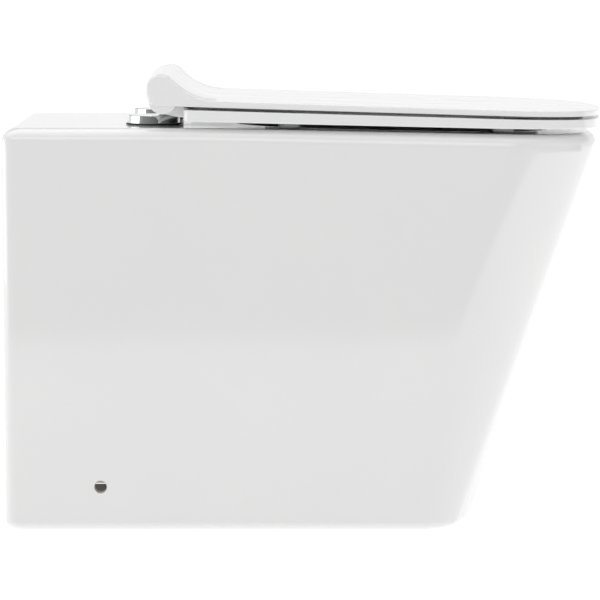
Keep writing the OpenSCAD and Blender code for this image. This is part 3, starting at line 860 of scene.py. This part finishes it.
rubber = finish(
    "matt_black_rubber", (0.028, 0.028, 0.03), (0.045, 0.045, 0.047), 60, 1800, 0.55, 0.2, 0.5,
    0.25, 0.0004, Specular_IOR_Level=0.35
)
seal = turned(
    "inlet_seal_rubber",
    [
        (seal_bore_r + 0.002, 0), *rounded(seal_lip_r, 0, seal_edge),
        *rounded(seal_lip_r, seal_lip_t, -seal_edge), (seal_r, seal_lip_t),
        *rounded(seal_r, seal_l, -0.0015), (seal_bore_r, seal_l), (seal_bore_r, 0.002)
    ],
    (seal_low.x, 0, inlet_z), (1, 0, 0), closed=True
)
seal_fins = grown(
    "seal_fins", ring_tree, ring_keys,
    {
        "Ring Radius": seal_bore_r, "Section Radius": fin_r, "Count": fin_count, "Start": fin_pitch,
        "Spacing": fin_pitch, "Material": rubber
    }
)
seal_fins.data.transform(Matrix.Translation((seal_low.x, 0, inlet_z)))
seal = together("inlet_seal_rubber", [seal, seal_fins])
dress(seal, rubber, "inlet_seal", "pan")

# ---------------------------------------------------------------------------------------------
# The fixings at each seat hole. On the shelf lie a thin rubber gasket, a turned steel base plate
# with a post, and a pressed chrome cover that hides them. A bolt passes down through a rubber
# sleeve to a rubber washer and a nylon wing nut under the shelf.
bolt_r = 0.004
bolt_pitch = 0.00125
bore_r = 0.00405
axis_x = 0.1593
thread_l = 0.036
thread_depth = 0.00055
thread_turns = round(thread_l / bolt_pitch)
head_t = 0.0026
cover_t = 0.0012
cover_edge = 0.0008
cover_draft = 0.0005  # how far its wall leans in towards the top
nut_r = 0.008
hands = ((-1, "left"), (1, "right"))
wing_t = 0.004

# geometry nodes: the ridge of a screw thread, wound up from the origin
thread_tree, given, thread_keys = new_group(
    "screw_thread", "GeometryNodeTree",
    {
        "Radius": "Float", "Turns": "Float", "Length": "Float", "Ridge": "Float",
        "Material": "Material"
    },
    {"Geometry": "Geometry"}
)
spiral = wired(
    thread_tree, "GeometryNodeCurveSpiral",
    {
        "Resolution": 20, "Rotations": given["Turns"], "Start Radius": given["Radius"],
        "End Radius": given["Radius"], "Height": given["Length"]
    }
)
section = wired(
    thread_tree, "GeometryNodeCurvePrimitiveCircle", {"Resolution": 4, "Radius": given["Ridge"]}
)
sweep = wired(
    thread_tree, "GeometryNodeCurveToMesh",
    {"Curve": spiral, "Profile Curve": section, "Fill Caps": True}
)
finish_mesh(thread_tree, given, sweep)

chrome = finish(
    "polished_chrome", (0.80, 0.81, 0.82), (0.76, 0.77, 0.785), 40, 900, 0.03, 0.03, 0.3, 0.02,
    0.0002, Metallic=1.0
)
steel = finish(
    "turned_steel", (0.56, 0.56, 0.565), (0.44, 0.44, 0.45), 120, 1600, 0.24, 0.16, 0.45, 0.12,
    0.0002, Metallic=1.0
)
nylon = finish(
    "natural_nylon", (0.74, 0.725, 0.67), (0.69, 0.67, 0.61), 80, 1400, 0.42, 0.15, 0.4, 0.15,
    0.0003, Subsurface_Weight=0.15, Subsurface_Scale=0.002
)


def round_size(node):
    """Radius, height and foot of an upright round CAD node."""
    low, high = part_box(node)
    return (high.y - low.y) / 2, high.z - low.z, low.z


def softened(piece, width):
    """Rounds all the edges of a piece."""
    soft = piece.modifiers.new("soft", "BEVEL")
    soft.width = width
    soft.segments = 3
    return settle(piece)


for side, hand in hands:
    hole = (wall_x + seat_hole_x, side * seat_hole_y)
    post_place = (wall_x + axis_x, side * seat_hole_y)

    gasket_r, gasket_t, foot_z = round_size("hinge_gasket_" + hand)
    gasket = turned(
        "gasket_rubber_" + hand,
        [
            (bore_r, 0), (gasket_r - 0.0004, 0), (gasket_r, 0.0003), (gasket_r - 0.0001, 0.0006),
            (gasket_r - 0.0009, gasket_t), (bore_r, gasket_t)
        ],
        (*hole, foot_z), closed=True, steps=96
    )
    dress(gasket, rubber, "hinge_gasket_" + hand, "pan")

    base_r, base_t, foot_z = round_size("hinge_base_" + hand)
    base = turned(
        "base_plate_" + hand,
        [
            (bore_r, 0), *rounded(base_r, 0, 0.0003, 2), *rounded(base_r, base_t, -0.0006, 3),
            (bore_r + 0.0004, base_t), (bore_r, base_t - 0.0004)
        ],
        (*hole, foot_z), closed=True
    )
    post_r, post_l, post_z = round_size("hinge_post_" + hand)
    post_fit = post_r + 0.00005
    bored(
        base, [(0, -0.001), (post_fit, -0.001), (post_fit, 0.006), (0, 0.006)],
        (*post_place, foot_z)
    )
    dress(base, steel, "hinge_base_" + hand, "pan")
    groove_z = post_l - 0.008
    groove = [
        (post_r - 0.0009 * math.sin(math.pi * i / 6), groove_z + 0.003 * i / 6)
        for i in range(7)
    ]
    post = turned(
        "catch_post_" + hand,
        [(0, 0), (post_r, 0), *groove, *rounded(post_r, post_l, -0.0016), (0, post_l)],
        (*post_place, post_z), steps=48
    )
    dress(post, steel, "hinge_post_" + hand, "pan")

    cover_r, cover_h, foot_z = round_size("hinge_cover_" + hand)
    cover = turned(
        "chrome_cover_" + hand,
        [
            (cover_r - cover_t, 0), *rounded(cover_r, 0, 0.0003, 3),
            (cover_r - cover_draft * 0.05, 0.0007),
            (cover_r - cover_draft * 0.95, cover_h - cover_edge - 0.0007),
            *rounded(cover_r - cover_draft, cover_h - 0.0002, -cover_edge, 6),
            (cover_r * 0.55, cover_h - 0.00004), (0.0, cover_h), (0.0, cover_h - cover_t),
            (cover_r - cover_t - 0.0006, cover_h - cover_t),
            (cover_r - cover_t, cover_h - cover_t - 0.0006)
        ],
        (*hole, foot_z), closed=True, steps=128
    )
    slot_r = post_r + 0.0005
    bored(
        cover,
        [
            (0, cover_h - 0.004), (slot_r, cover_h - 0.004), (slot_r, cover_h - 0.0007),
            (slot_r + 0.0001, cover_h - 0.0004), (slot_r + 0.0006, cover_h - 0.00002),
            (slot_r + 0.0006, cover_h + 0.002), (0, cover_h + 0.002)
        ],
        (*post_place, foot_z), steps=48
    )
    dress(cover, chrome, "hinge_cover_" + hand, "pan")

    low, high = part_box("seat_bolt_" + hand)
    head_r = (high.y - low.y) / 2
    shank_l = high.z - low.z - head_t
    bolt = turned(
        "seat_bolt_steel_" + hand,
        [
            (0, -shank_l), (bolt_r - 0.0012, -shank_l), (bolt_r - thread_depth, -shank_l + 0.001),
            (bolt_r - thread_depth, -shank_l + thread_l), (bolt_r, -shank_l + thread_l + 0.0006),
            (bolt_r, 0), (head_r - 0.0002, 0), *rounded(head_r, head_t, -0.0009, 4), (0, head_t)
        ],
        (*hole, high.z - head_t), steps=48
    )
    bored(
        bolt, [(0, 0.0008), (0.0023, 0.0008), (0.0029, head_t + 0.0002), (0, head_t + 0.0002)],
        (*hole, high.z - head_t), steps=6
    )
    thread = grown(
        "bolt_thread", thread_tree, thread_keys,
        {
            "Radius": bolt_r - thread_depth, "Turns": float(thread_turns - 1),
            "Length": thread_l - 0.003, "Ridge": thread_depth, "Material": steel
        }
    )
    thread.data.transform(Matrix.Translation((*hole, low.z + 0.002)))
    bolt = together("seat_bolt_steel_" + hand, [bolt, thread])
    dress(bolt, steel, "seat_bolt_" + hand, "pan")

    for kind, edge, steps in (("sleeve", 0.0008, 48), ("washer", 0.0006, 64)):
        ring_r, ring_h, foot_z = round_size("bolt_" + kind + "_" + hand)
        ring = turned(
            kind + "_rubber_" + hand,
            [
                (bore_r, 0), *rounded(ring_r, 0, edge, 3), *rounded(ring_r, ring_h, -edge, 3),
                (bore_r, ring_h)
            ],
            (*hole, foot_z), closed=True, steps=steps
        )
        dress(ring, rubber, "bolt_" + kind + "_" + hand, "pan")

    low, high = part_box("wing_nut_" + hand)
    nut_h = high.z - low.z
    wing_reach = (high.x - low.x) / 2
    nut = turned(
        "wing_nut_nylon_" + hand,
        [
            (bore_r, 0), *rounded(nut_r - 0.0008, 0, 0.0012, 4), (nut_r, nut_h - 0.002),
            *rounded(nut_r, nut_h, -0.0006, 3), (bore_r, nut_h)
        ],
        (*hole, low.z), closed=True, steps=48
    )
    wing_outline = [
        (nut_r - 0.001, nut_h - 0.001), (nut_r + 0.004, nut_h * 0.72),
        (wing_reach - 0.002, nut_h * 0.42), (wing_reach, nut_h * 0.3), (wing_reach, 0.002),
        (wing_reach - 0.002, 0.0), (wing_reach - 0.006, 0.0004), (nut_r + 0.002, nut_h * 0.26),
        (nut_r - 0.001, nut_h * 0.3)
    ]
    for way in (-1, 1):
        points = [
            (hole[0] + way * x, hole[1] + y * wing_t / 2, low.z + z)
            for y in (-1, 1)
            for x, z in wing_outline
        ]
        count = len(wing_outline)
        faces = [tuple(range(count)), tuple(range(count, 2 * count))]
        faces += [(i, (i + 1) % count, count + (i + 1) % count, count + i) for i in range(count)]
        change(nut, softened(solid("wing", points, faces), 0.0009), "UNION")
    dress(nut, nylon, "wing_nut_" + hand, "pan")

# ---------------------------------------------------------------------------------------------
# The hinge blocks: moulded white blocks that drop over the posts and carry a steel shaft to each
# side. A grey button at the back of each lets the seat off its post. The seat's and the lid's
# soft-close dampers turn on the shafts.
axis_z = pan_h + 0.0276
barrel_r = 0.0141
block_edge = 0.0008
block_foot_r = 0.0075
button_slack = 0.0002
shaft_grip = 0.011
damper_room = [(0, -0.002), (0.00805, -0.002), (0.00805, 0.0465), (0, 0.0465)]  # a damper's bore

block_paint = finish(
    "white_moulding", (0.80, 0.80, 0.795), (0.775, 0.778, 0.775), 25, 600, 0.2, 0.08, 0.3, 0.06,
    0.0004
)
button_paint = finish(
    "grey_satin_moulding", (0.30, 0.31, 0.325), (0.26, 0.27, 0.285), 60, 1500, 0.36, 0.1, 0.5, 0.12,
    0.0003
)
damper_paint = finish(
    "damper_moulding", (0.17, 0.18, 0.195), (0.14, 0.15, 0.165), 60, 1500, 0.4, 0.12, 0.5, 0.12,
    0.0003
)


def on_axis(name, profile, side, start, closed=False, steps=64):
    """A lathe piece along the hinge axis; start is its distance from the middle, on one side."""
    place = (wall_x + axis_x, side * start, axis_z)
    return turned(name, profile, place, (0, side, 0), closed=closed, steps=steps)


def block_box(name, low, high):
    """A plain box between two corners, with X measured from the wall."""
    points = [
        (wall_x + x, y, z)
        for x in (low[0], high[0])
        for y in (low[1], high[1])
        for z in (low[2], high[2])
    ]
    faces = [(0, 1, 3, 2), (4, 6, 7, 5), (0, 4, 5, 1), (2, 3, 7, 6), (0, 2, 6, 4), (1, 5, 7, 3)]
    return solid(name, points, faces)


for side, hand in hands:
    low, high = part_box("hinge_block_" + hand)
    block_in = min(abs(low.y), abs(high.y))
    block_l = high.y - low.y
    block = on_axis(
        "hinge_block_moulding_" + hand,
        [
            (0, 0), *rounded(barrel_r, 0, block_edge, 4),
            *rounded(barrel_r, block_l, -block_edge, 4), (0, block_l)
        ],
        side, block_in, steps=96
    )
    foot_place = (wall_x + axis_x, side * seat_hole_y, low.z)
    foot = turned(
        "block_foot",
        [(0, 0), *rounded(block_foot_r, 0, 0.0008, 3), (block_foot_r, 0.016), (0, 0.016)],
        foot_place, steps=48
    )
    change(block, foot, "UNION")
    post_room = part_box("hinge_post_" + hand)[1].z + 0.0003 - low.z
    bored(
        block,
        [
            (0, -0.002), (post_r + 0.0006, -0.002), (post_r + 0.0006, 0.0), (post_fit, 0.0006),
            (post_fit, post_room), (0, post_room)
        ],
        foot_place, steps=48
    )
    for way in (-1, 1):
        edge_y = seat_hole_y + way * block_l / 2
        bored(
            block,
            [
                (0, -shaft_grip), (bore_r, -shaft_grip), (bore_r, -0.0005), (bore_r + 0.0005, 0),
                (bore_r + 0.0005, 0.002), (0, 0.002)
            ],
            (wall_x + axis_x, side * edge_y, axis_z), (0, side * way, 0), 48
        )
    button_low, button_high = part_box("release_button_" + hand)
    pocket = block_box(
        "pocket",
        (axis_x - barrel_r - 0.001, button_low.y - button_slack, button_low.z - button_slack),
        (button_high.x - wall_x + 0.003, button_high.y + button_slack, button_high.z + button_slack)
    )
    change(block, pocket, "DIFFERENCE")
    dress(block, block_paint, "hinge_block_" + hand, "hinge_blocks")

    for owner, way in (("seat_shaft_", 1), ("lid_shaft_", -1)):
        low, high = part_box(owner + hand)
        shaft_r = (high.z - low.z) / 2
        shaft_l = high.y - low.y
        shaft_start = (low if way * side > 0 else high).y
        shaft = turned(
            owner + "steel_" + hand,
            [
                (0, 0), (shaft_r - 0.0005, 0), (shaft_r, 0.0005), (shaft_r, shaft_l - 0.006),
                (shaft_r - 0.0004, shaft_l - 0.0056), (shaft_r - 0.0004, shaft_l - 0.0046),
                (shaft_r, shaft_l - 0.0042), (shaft_r, shaft_l - 0.0005),
                (shaft_r - 0.0005, shaft_l), (0, shaft_l)
            ],
            (wall_x + axis_x, shaft_start, axis_z), (0, side * way, 0), steps=48
        )
        dress(shaft, steel, owner + hand, "hinge_blocks")

    button = block_box(
        "button_moulding_" + hand, (button_low.x - wall_x, button_low.y, button_low.z),
        (button_high.x - wall_x, button_high.y, button_high.z)
    )
    softened(button, 0.0006)
    dress(button, button_paint, "release_button_" + hand, "button_" + hand)

    for owner, body in (("seat_damper_", "seat"), ("lid_damper_", "lid")):
        low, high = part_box(owner + hand)
        damper_r = (high.z - low.z) / 2
        damper_l = high.y - low.y
        grooves = []
        for i in range(5):
            at = damper_l * (i + 1) / 6
            grooves += [
                (damper_r, at - 0.0012), (damper_r - 0.0005, at - 0.0008),
                (damper_r - 0.0005, at + 0.0008), (damper_r, at + 0.0012)
            ]
        damper = on_axis(
            owner + "sleeve_" + hand,
            [
                (bore_r, 0), *rounded(damper_r, 0, 0.0006, 3), *grooves,
                *rounded(damper_r, damper_l, -0.0006, 3), (bore_r, damper_l)
            ],
            1, low.y, closed=True, steps=48
        )
        dress(damper, damper_paint, owner + hand, body)

# ---------------------------------------------------------------------------------------------
# The seat: a slim ring moulded in hard white plastic, with two barrels behind that hold the seat's
# dampers, joined to the ring by necks. Four soft buffers keep it off the rim.
seat_low, seat_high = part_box("seat_ring")
seat_half = seat_high.y
seat_x = 0.180
tip_x = seat_tip_x - wall_x
seat_corner_r = 0.100
seat_back_r = 0.008
seat_low_back = pan_h + 0.0066
seat_low_tip = seat_low.z
seat_t = 0.0115
seat_tip_t = 0.0088
seat_open_l = 0.281
seat_open_w = 0.236
seat_front = 0.062
seat_open_x = tip_x - seat_front - seat_open_l / 2
lid_low_back = seat_low_back + seat_t + 0.0032
lid_low_tip = seat_low_tip + seat_tip_t + 0.0030
barrel_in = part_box("seat_damper_right")[0].y
barrel_out = 0.171
neck_out = 0.160
seat_dish = 0.0007  # the top falls this much towards the opening


def fall(x, back, tip):
    """Height on a plane that falls from the back of the seat to its tip."""
    return back + (tip - back) * (x - seat_x) / (tip_x - seat_x)


def seat_under(x):
    return fall(x, seat_low_back, seat_low_tip)


def seat_over(x):
    return fall(x, seat_low_back + seat_t, seat_low_tip + seat_tip_t)


def seat_outer(inset):
    return outline(
        seat_x + inset, tip_x - inset, seat_half - inset, seat_corner_r - inset, seat_back_r - inset
    )


def seat_inner(grow):
    """The opening's edge, each point in line with its point of the outer edge."""
    turns = [math.atan2(y, x - seat_open_x) for x, y in seat_outer(0)]
    a, b = seat_open_l / 2 + grow, seat_open_w / 2 + grow
    return [
        (seat_open_x + oval_at(t, a, b) * math.cos(t), oval_at(t, a, b) * math.sin(t))
        for t in turns
    ]


def lifted(points, height):
    return [(x, y, height(x)) for x, y in points]


def soft_edge(line, r, height, steps, first, up=1):
    """Rings round a softened edge of radius r: line gives the outline at an inset from it, and
    height the flat face beside it. They start on the side, or on the face."""
    rings = []
    for pair in quarter(steps):
        level, reach = pair if first == "face" else pair[::-1]
        ring = line(r * (1 - reach))
        rings.append(lifted(ring, lambda x: height(x) + up * r * (1 - level)))
    return rings


def seat_top_in(x):
    return seat_over(x) - seat_dish


outer_low_r = 0.0012
outer_top_r = 0.0010
inner_low_r = 0.002
inner_top_r = 0.0045
flat_steps = 6
seat_rings = soft_edge(seat_outer, outer_low_r, seat_under, 4, "face")
seat_rings += soft_edge(seat_outer, outer_top_r, seat_over, 6, "side", -1)
outer_flat = seat_rings[-1]
inner_flat = lifted(seat_inner(inner_top_r), seat_top_in)
seat_rings += [between(outer_flat, inner_flat, i / flat_steps) for i in range(1, flat_steps)]
seat_rings += soft_edge(seat_inner, inner_top_r, seat_top_in, 6, "face", -1)
seat_rings += soft_edge(seat_inner, inner_low_r, seat_under, 4, "side")
inner_under = seat_rings[-1]
seat_rings += [between(inner_under, seat_rings[0], i / flat_steps) for i in range(1, flat_steps)]
seat = loft("seat_moulding", seat_rings, closed=True)


def bent(start, middle, end, steps):
    """Points on a curve from start to end that bends towards middle."""
    points = []
    for i in range(steps + 1):
        t = i / steps
        shares = ((1 - t) ** 2, 2 * t * (1 - t), t**2)
        points.append(tuple(sum(s * p for s, p in zip(shares, v)) for v in zip(start, middle, end)))
    return points


def drawn_in(profile, inset):
    """A closed side profile drawn in on all sides."""
    count = len(profile)
    result = []
    for i in range(count):
        before, here, after = (Vector(profile[(i + k) % count]) for k in (-1, 0, 1))
        one = (here - before).normalized()
        two = (after - here).normalized()
        inward = Vector((-one.y - two.y, one.x + two.x)).normalized()
        result.append(tuple(here + inward * inset))
    return result


def plank(name, profile, start, end, edge):
    """A side profile carried across from one Y to another, with softened ends. The profile runs
    against the clock as seen from the left."""
    rings = [(start + depth * edge, inset * edge) for depth, inset in ((0, 1), (0.3, 0.3), (1, 0))]
    rings += [(end - depth * edge, inset * edge) for depth, inset in ((1, 0), (0.3, 0.3), (0, 1))]
    return loft(name, [[(x, y, z) for x, z in drawn_in(profile, inset)] for y, inset in rings])


neck_end = seat_x + 2 * seat_back_r
neck_top = fall(seat_x, lid_low_back, lid_low_tip) - 0.0005
neck_under = bent(
    (axis_x, axis_z - barrel_r + 0.0002), (seat_x - 0.008, seat_low_back + 0.0035),
    (seat_x + 0.002, seat_low_back + 0.0032), 8
)
neck_profile = neck_under + [
    (neck_end, seat_under(neck_end) + 0.001), (neck_end, seat_over(neck_end) - 0.001),
    (seat_x + 0.002, neck_top - 0.001), (seat_x - 0.001, neck_top), (axis_x, neck_top)
]
for side in (-1, 1):
    barrel = on_axis(
        "barrel",
        [
            (0, 0), *rounded(barrel_r, 0, 0.0006, 4),
            *rounded(barrel_r, barrel_out - barrel_in, -0.0008, 5), (0, barrel_out - barrel_in)
        ],
        side, barrel_in, steps=96
    )
    neck_ends = sorted((side * barrel_in, side * neck_out))
    neck = plank("neck", neck_profile, neck_ends[0] + 0.0004, neck_ends[1], 0.0008)
    change(barrel, neck, "UNION")
    change(seat, barrel, "UNION")
    change(seat, on_axis("damper_bore", damper_room, side, barrel_in), "DIFFERENCE")

seat_paint = finish(
    "white_gloss_moulding", (0.872, 0.874, 0.872), (0.855, 0.858, 0.858), 14, 420, 0.1, 0.05, 0.25,
    0.05, 0.0006, IOR=1.5, Coat_Weight=0.15, Coat_Roughness=0.05
)
dress(seat, seat_paint, "seat_ring", "seat", 28)

buffer_paint = finish(
    "milky_buffer", (0.80, 0.81, 0.815), (0.75, 0.76, 0.77), 90, 1500, 0.38, 0.12, 0.4, 0.12,
    0.0003, Subsurface_Weight=0.2, Subsurface_Scale=0.002
)
buffer_l = 0.022
buffer_w = 0.012


def pad(name, x, y, foot_z, top_z):
    """A long buffer with round ends and a softened foot, up to the underside it is pressed into."""
    half_l, half_w = (buffer_l - buffer_w) / 2, buffer_w / 2
    foot = [(0.0034, 0), (0.0021, 0.0002), (0.0011, 0.0008), (0.0004, 0.0018), (0, 0.0032)]
    rings = []
    for inset, rise in foot + [(0, None)]:
        ring = []
        for i in range(40):
            t = 2 * math.pi * (i + 0.5) / 40
            end_x = x + math.copysign(half_l, math.cos(t))
            ring.append(
                (end_x + (half_w - inset) * math.cos(t), y + (half_w - inset) * math.sin(t))
            )
        rings.append(
            [(px, py, top_z(px) + 0.0003 if rise is None else foot_z + rise) for px, py in ring]
        )
    return loft(name, rings)


def buffers(body, rest, under, front_y=None):
    """Four pads under a body that rest on what lies below it. The front pair may stand closer."""
    node = body + "_buffers"
    low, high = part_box(node)
    back_x, front_x = low.x - wall_x + buffer_l / 2, high.x - wall_x - buffer_l / 2
    back_y = high.y - buffer_w / 2
    pads = []
    for x, reach in ((back_x, back_y), (front_x, front_y or back_y)):
        for y in (-reach, reach):
            pads.append(pad(body + "_pad", x, y, rest(x - buffer_l / 2) + 0.0003, under))
    dress(together(body + "_buffer_pads", pads), buffer_paint, node, body)


buffers("seat", shelf_z, seat_under)

# ---------------------------------------------------------------------------------------------
# The lid: a thin plate in the same plastic that sweeps up behind into a hump over the hinge. Its
# two end caps cover the ends of the seat's barrels, and a core in the middle holds its dampers.
# Four soft buffers keep it off the seat.
lid_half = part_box("lid")[1].y
lid_t = 0.0065
lid_tip_t = 0.0055
hump_r = 0.0148
hump_x = axis_x - 0.0015
hump_z = axis_z + 0.0099
sweep_r = 0.060
lid_rear = hump_x - hump_r
lid_back_r = 0.003
lid_corner_r = seat_corner_r - (seat_half - lid_half)
lid_edge = 0.0013
lid_low_edge = 0.0005
lid_tuck = 0.0044  # how far its lower rear edge is drawn in under the hump
hump_crown = (-0.0030, 0.0026)  # how far back and up the hump swells at mid width
lid_turn = math.radians(97)
cover_room = 0.0176  # how far under the hinge's axis the hump may reach when the lid is up
room_blend = 0.0004  # how softly it comes up to that limit
lid_core = 0.057
lid_cap_in = 0.1715
lid_lip_h = 0.0102
front_pad_y = 0.104
hollow_r = 0.0146
rib_h = 0.0022  # the low rib that runs round the lid's underside
rib_outer, rib_inner, rib_flank = 0.014, 0.021, 0.003
rib_ends = (axis_x + 0.030, axis_x + 0.045)  # where the rib fades out towards the hinge


def lid_under(x):
    return fall(x, lid_low_back, lid_low_tip)


def smooth(value, start, end):
    """0 at start, 1 at end and a smooth rise between them."""
    t = min(1, max(0, (value - start) / (end - start)))
    return t * t * (3 - 2 * t)


def plate_over(x):
    return fall(x, lid_low_back + lid_t, lid_low_tip + lid_tip_t)


sweep_z = plate_over(hump_x + sweep_r) + sweep_r
sweep_reach = hump_r + sweep_r
sweep_up = sweep_z - hump_z
sweep_x = hump_x + math.sqrt(sweep_reach**2 - sweep_up**2)
meet_x = hump_x + hump_r * (sweep_x - hump_x) / sweep_reach


def lid_over(x):
    """Height of the lid's top: the hump's crest, the hollow behind it and the plate."""
    if x < meet_x:
        return hump_z + math.sqrt(max(0, hump_r**2 - (x - hump_x) ** 2))
    if x < sweep_x:
        return max(plate_over(x), sweep_z - math.sqrt(sweep_r**2 - (x - sweep_x) ** 2))
    return plate_over(x)


def lid_outline(inset):
    return outline(
        lid_rear + inset, tip_x - inset, lid_half - inset, lid_corner_r - inset, lid_back_r - inset
    )


insets = [lid_edge * (1 - math.cos(math.pi / 2 * i / 6)) for i in range(7)]
step = 0.0005
while insets[-1] < 0.064:
    insets.append(insets[-1] + step)
    step = min(step * 1.16, 0.004)
lid_rings = []
spine = [(min(max(x, lid_rear + 0.15), tip_x - 0.15), 0.0) for x, y in lid_outline(0)]


def towards_spine(ring, share, height):
    points = between([(x, y) for x, y, *_ in ring], spine, share)
    return lifted(points, height)


under_start = lifted(lid_outline(rib_inner + rib_flank), lid_under)
for i in range(7, 0, -1):
    lid_rings.append(towards_spine(under_start, 0.97 * i / 7, lid_under))
# the rib comes down over its inner flank and goes back up over its outer one
for start, turn in ((rib_inner + rib_flank, 1), (rib_outer + rib_flank, -1)):
    for i in range(7):
        share = smooth(turn * i, min(0, turn * 6), max(0, turn * 6))
        ring = lid_outline(start - rib_flank * i / 6)
        drop = rib_h * share
        lid_rings.append(lifted(ring, lambda x: lid_under(x) - drop * smooth(x, *rib_ends)))
lid_rings += soft_edge(lid_outline, lid_low_edge, lid_under, 3, "face")
edge_start = lifted(lid_outline(0), lambda x: lid_over(x) - lid_edge)
lid_rings += [between(lid_rings[-1], edge_start, i / 10) for i in range(1, 10)]
for inset in insets:
    short = max(0, lid_edge - inset)
    drop = lid_edge - math.sqrt(lid_edge**2 - short**2)
    lid_rings.append(lifted(lid_outline(inset), lambda x: lid_over(x) - drop))
over_start = lid_rings[-1]
for i in range(1, 9):
    lid_rings.append(towards_spine(over_start, 0.97 * i / 8, lid_over))
lid = loft("lid_moulding", lid_rings)

# the hump swells towards mid width, no further than the open lid has room for, and its lower rear
# edge is drawn in
for vertex in lid.data.vertices:
    x, y, z = vertex.co
    row_x = x - wall_x
    low_z = lid_under(row_x)
    rise = min(1, max(0, (z - low_z) / (hump_z - low_z)))
    swell = (1 - (y / lid_half) ** 2) * rise * smooth(row_x, sweep_x, hump_x)
    tuck = lid_tuck * (1 - rise) ** 1.6 * smooth(row_x, lid_rear + 0.030, lid_rear + lid_back_r)
    x += hump_crown[0] * swell
    z += hump_crown[1] * swell
    reach = (axis_x + wall_x - x) * math.sin(lid_turn) - (z - axis_z) * math.cos(lid_turn)
    if swell > 0:
        past = math.log1p(math.exp((reach - cover_room) / room_blend))
        x += min(1, 4 * swell) * room_blend * past
    vertex.co = (x + tuck, y, z)

core = on_axis(
    "core",
    [
        (0, 0), *rounded(barrel_r, 0, 0.0006, 4), *rounded(barrel_r, 2 * lid_core, -0.0006, 4),
        (0, 2 * lid_core)
    ],
    1, -lid_core, steps=96
)
for side in (-1, 1):
    room_l = lid_cap_in - lid_core
    room = on_axis(
        "room", [(0, 0), (hollow_r, 0), (hollow_r, room_l), (0, room_l)], side, lid_core, steps=96
    )
    change(lid, room, "DIFFERENCE")
    ends = sorted((side * lid_core, side * lid_cap_in))
    behind = block_box(
        "behind", (lid_rear + hump_crown[0] - 0.001, ends[0], axis_z - 2 * barrel_r),
        (axis_x, ends[1], axis_z + lid_lip_h)
    )
    change(lid, behind, "DIFFERENCE")
change(lid, core, "UNION")
for side in (-1, 1):
    change(lid, on_axis("damper_bore", damper_room, -side, -lid_core), "DIFFERENCE")
dress(lid, seat_paint, "lid", "lid", 28)

buffers("lid", seat_over, lid_under, front_pad_y)
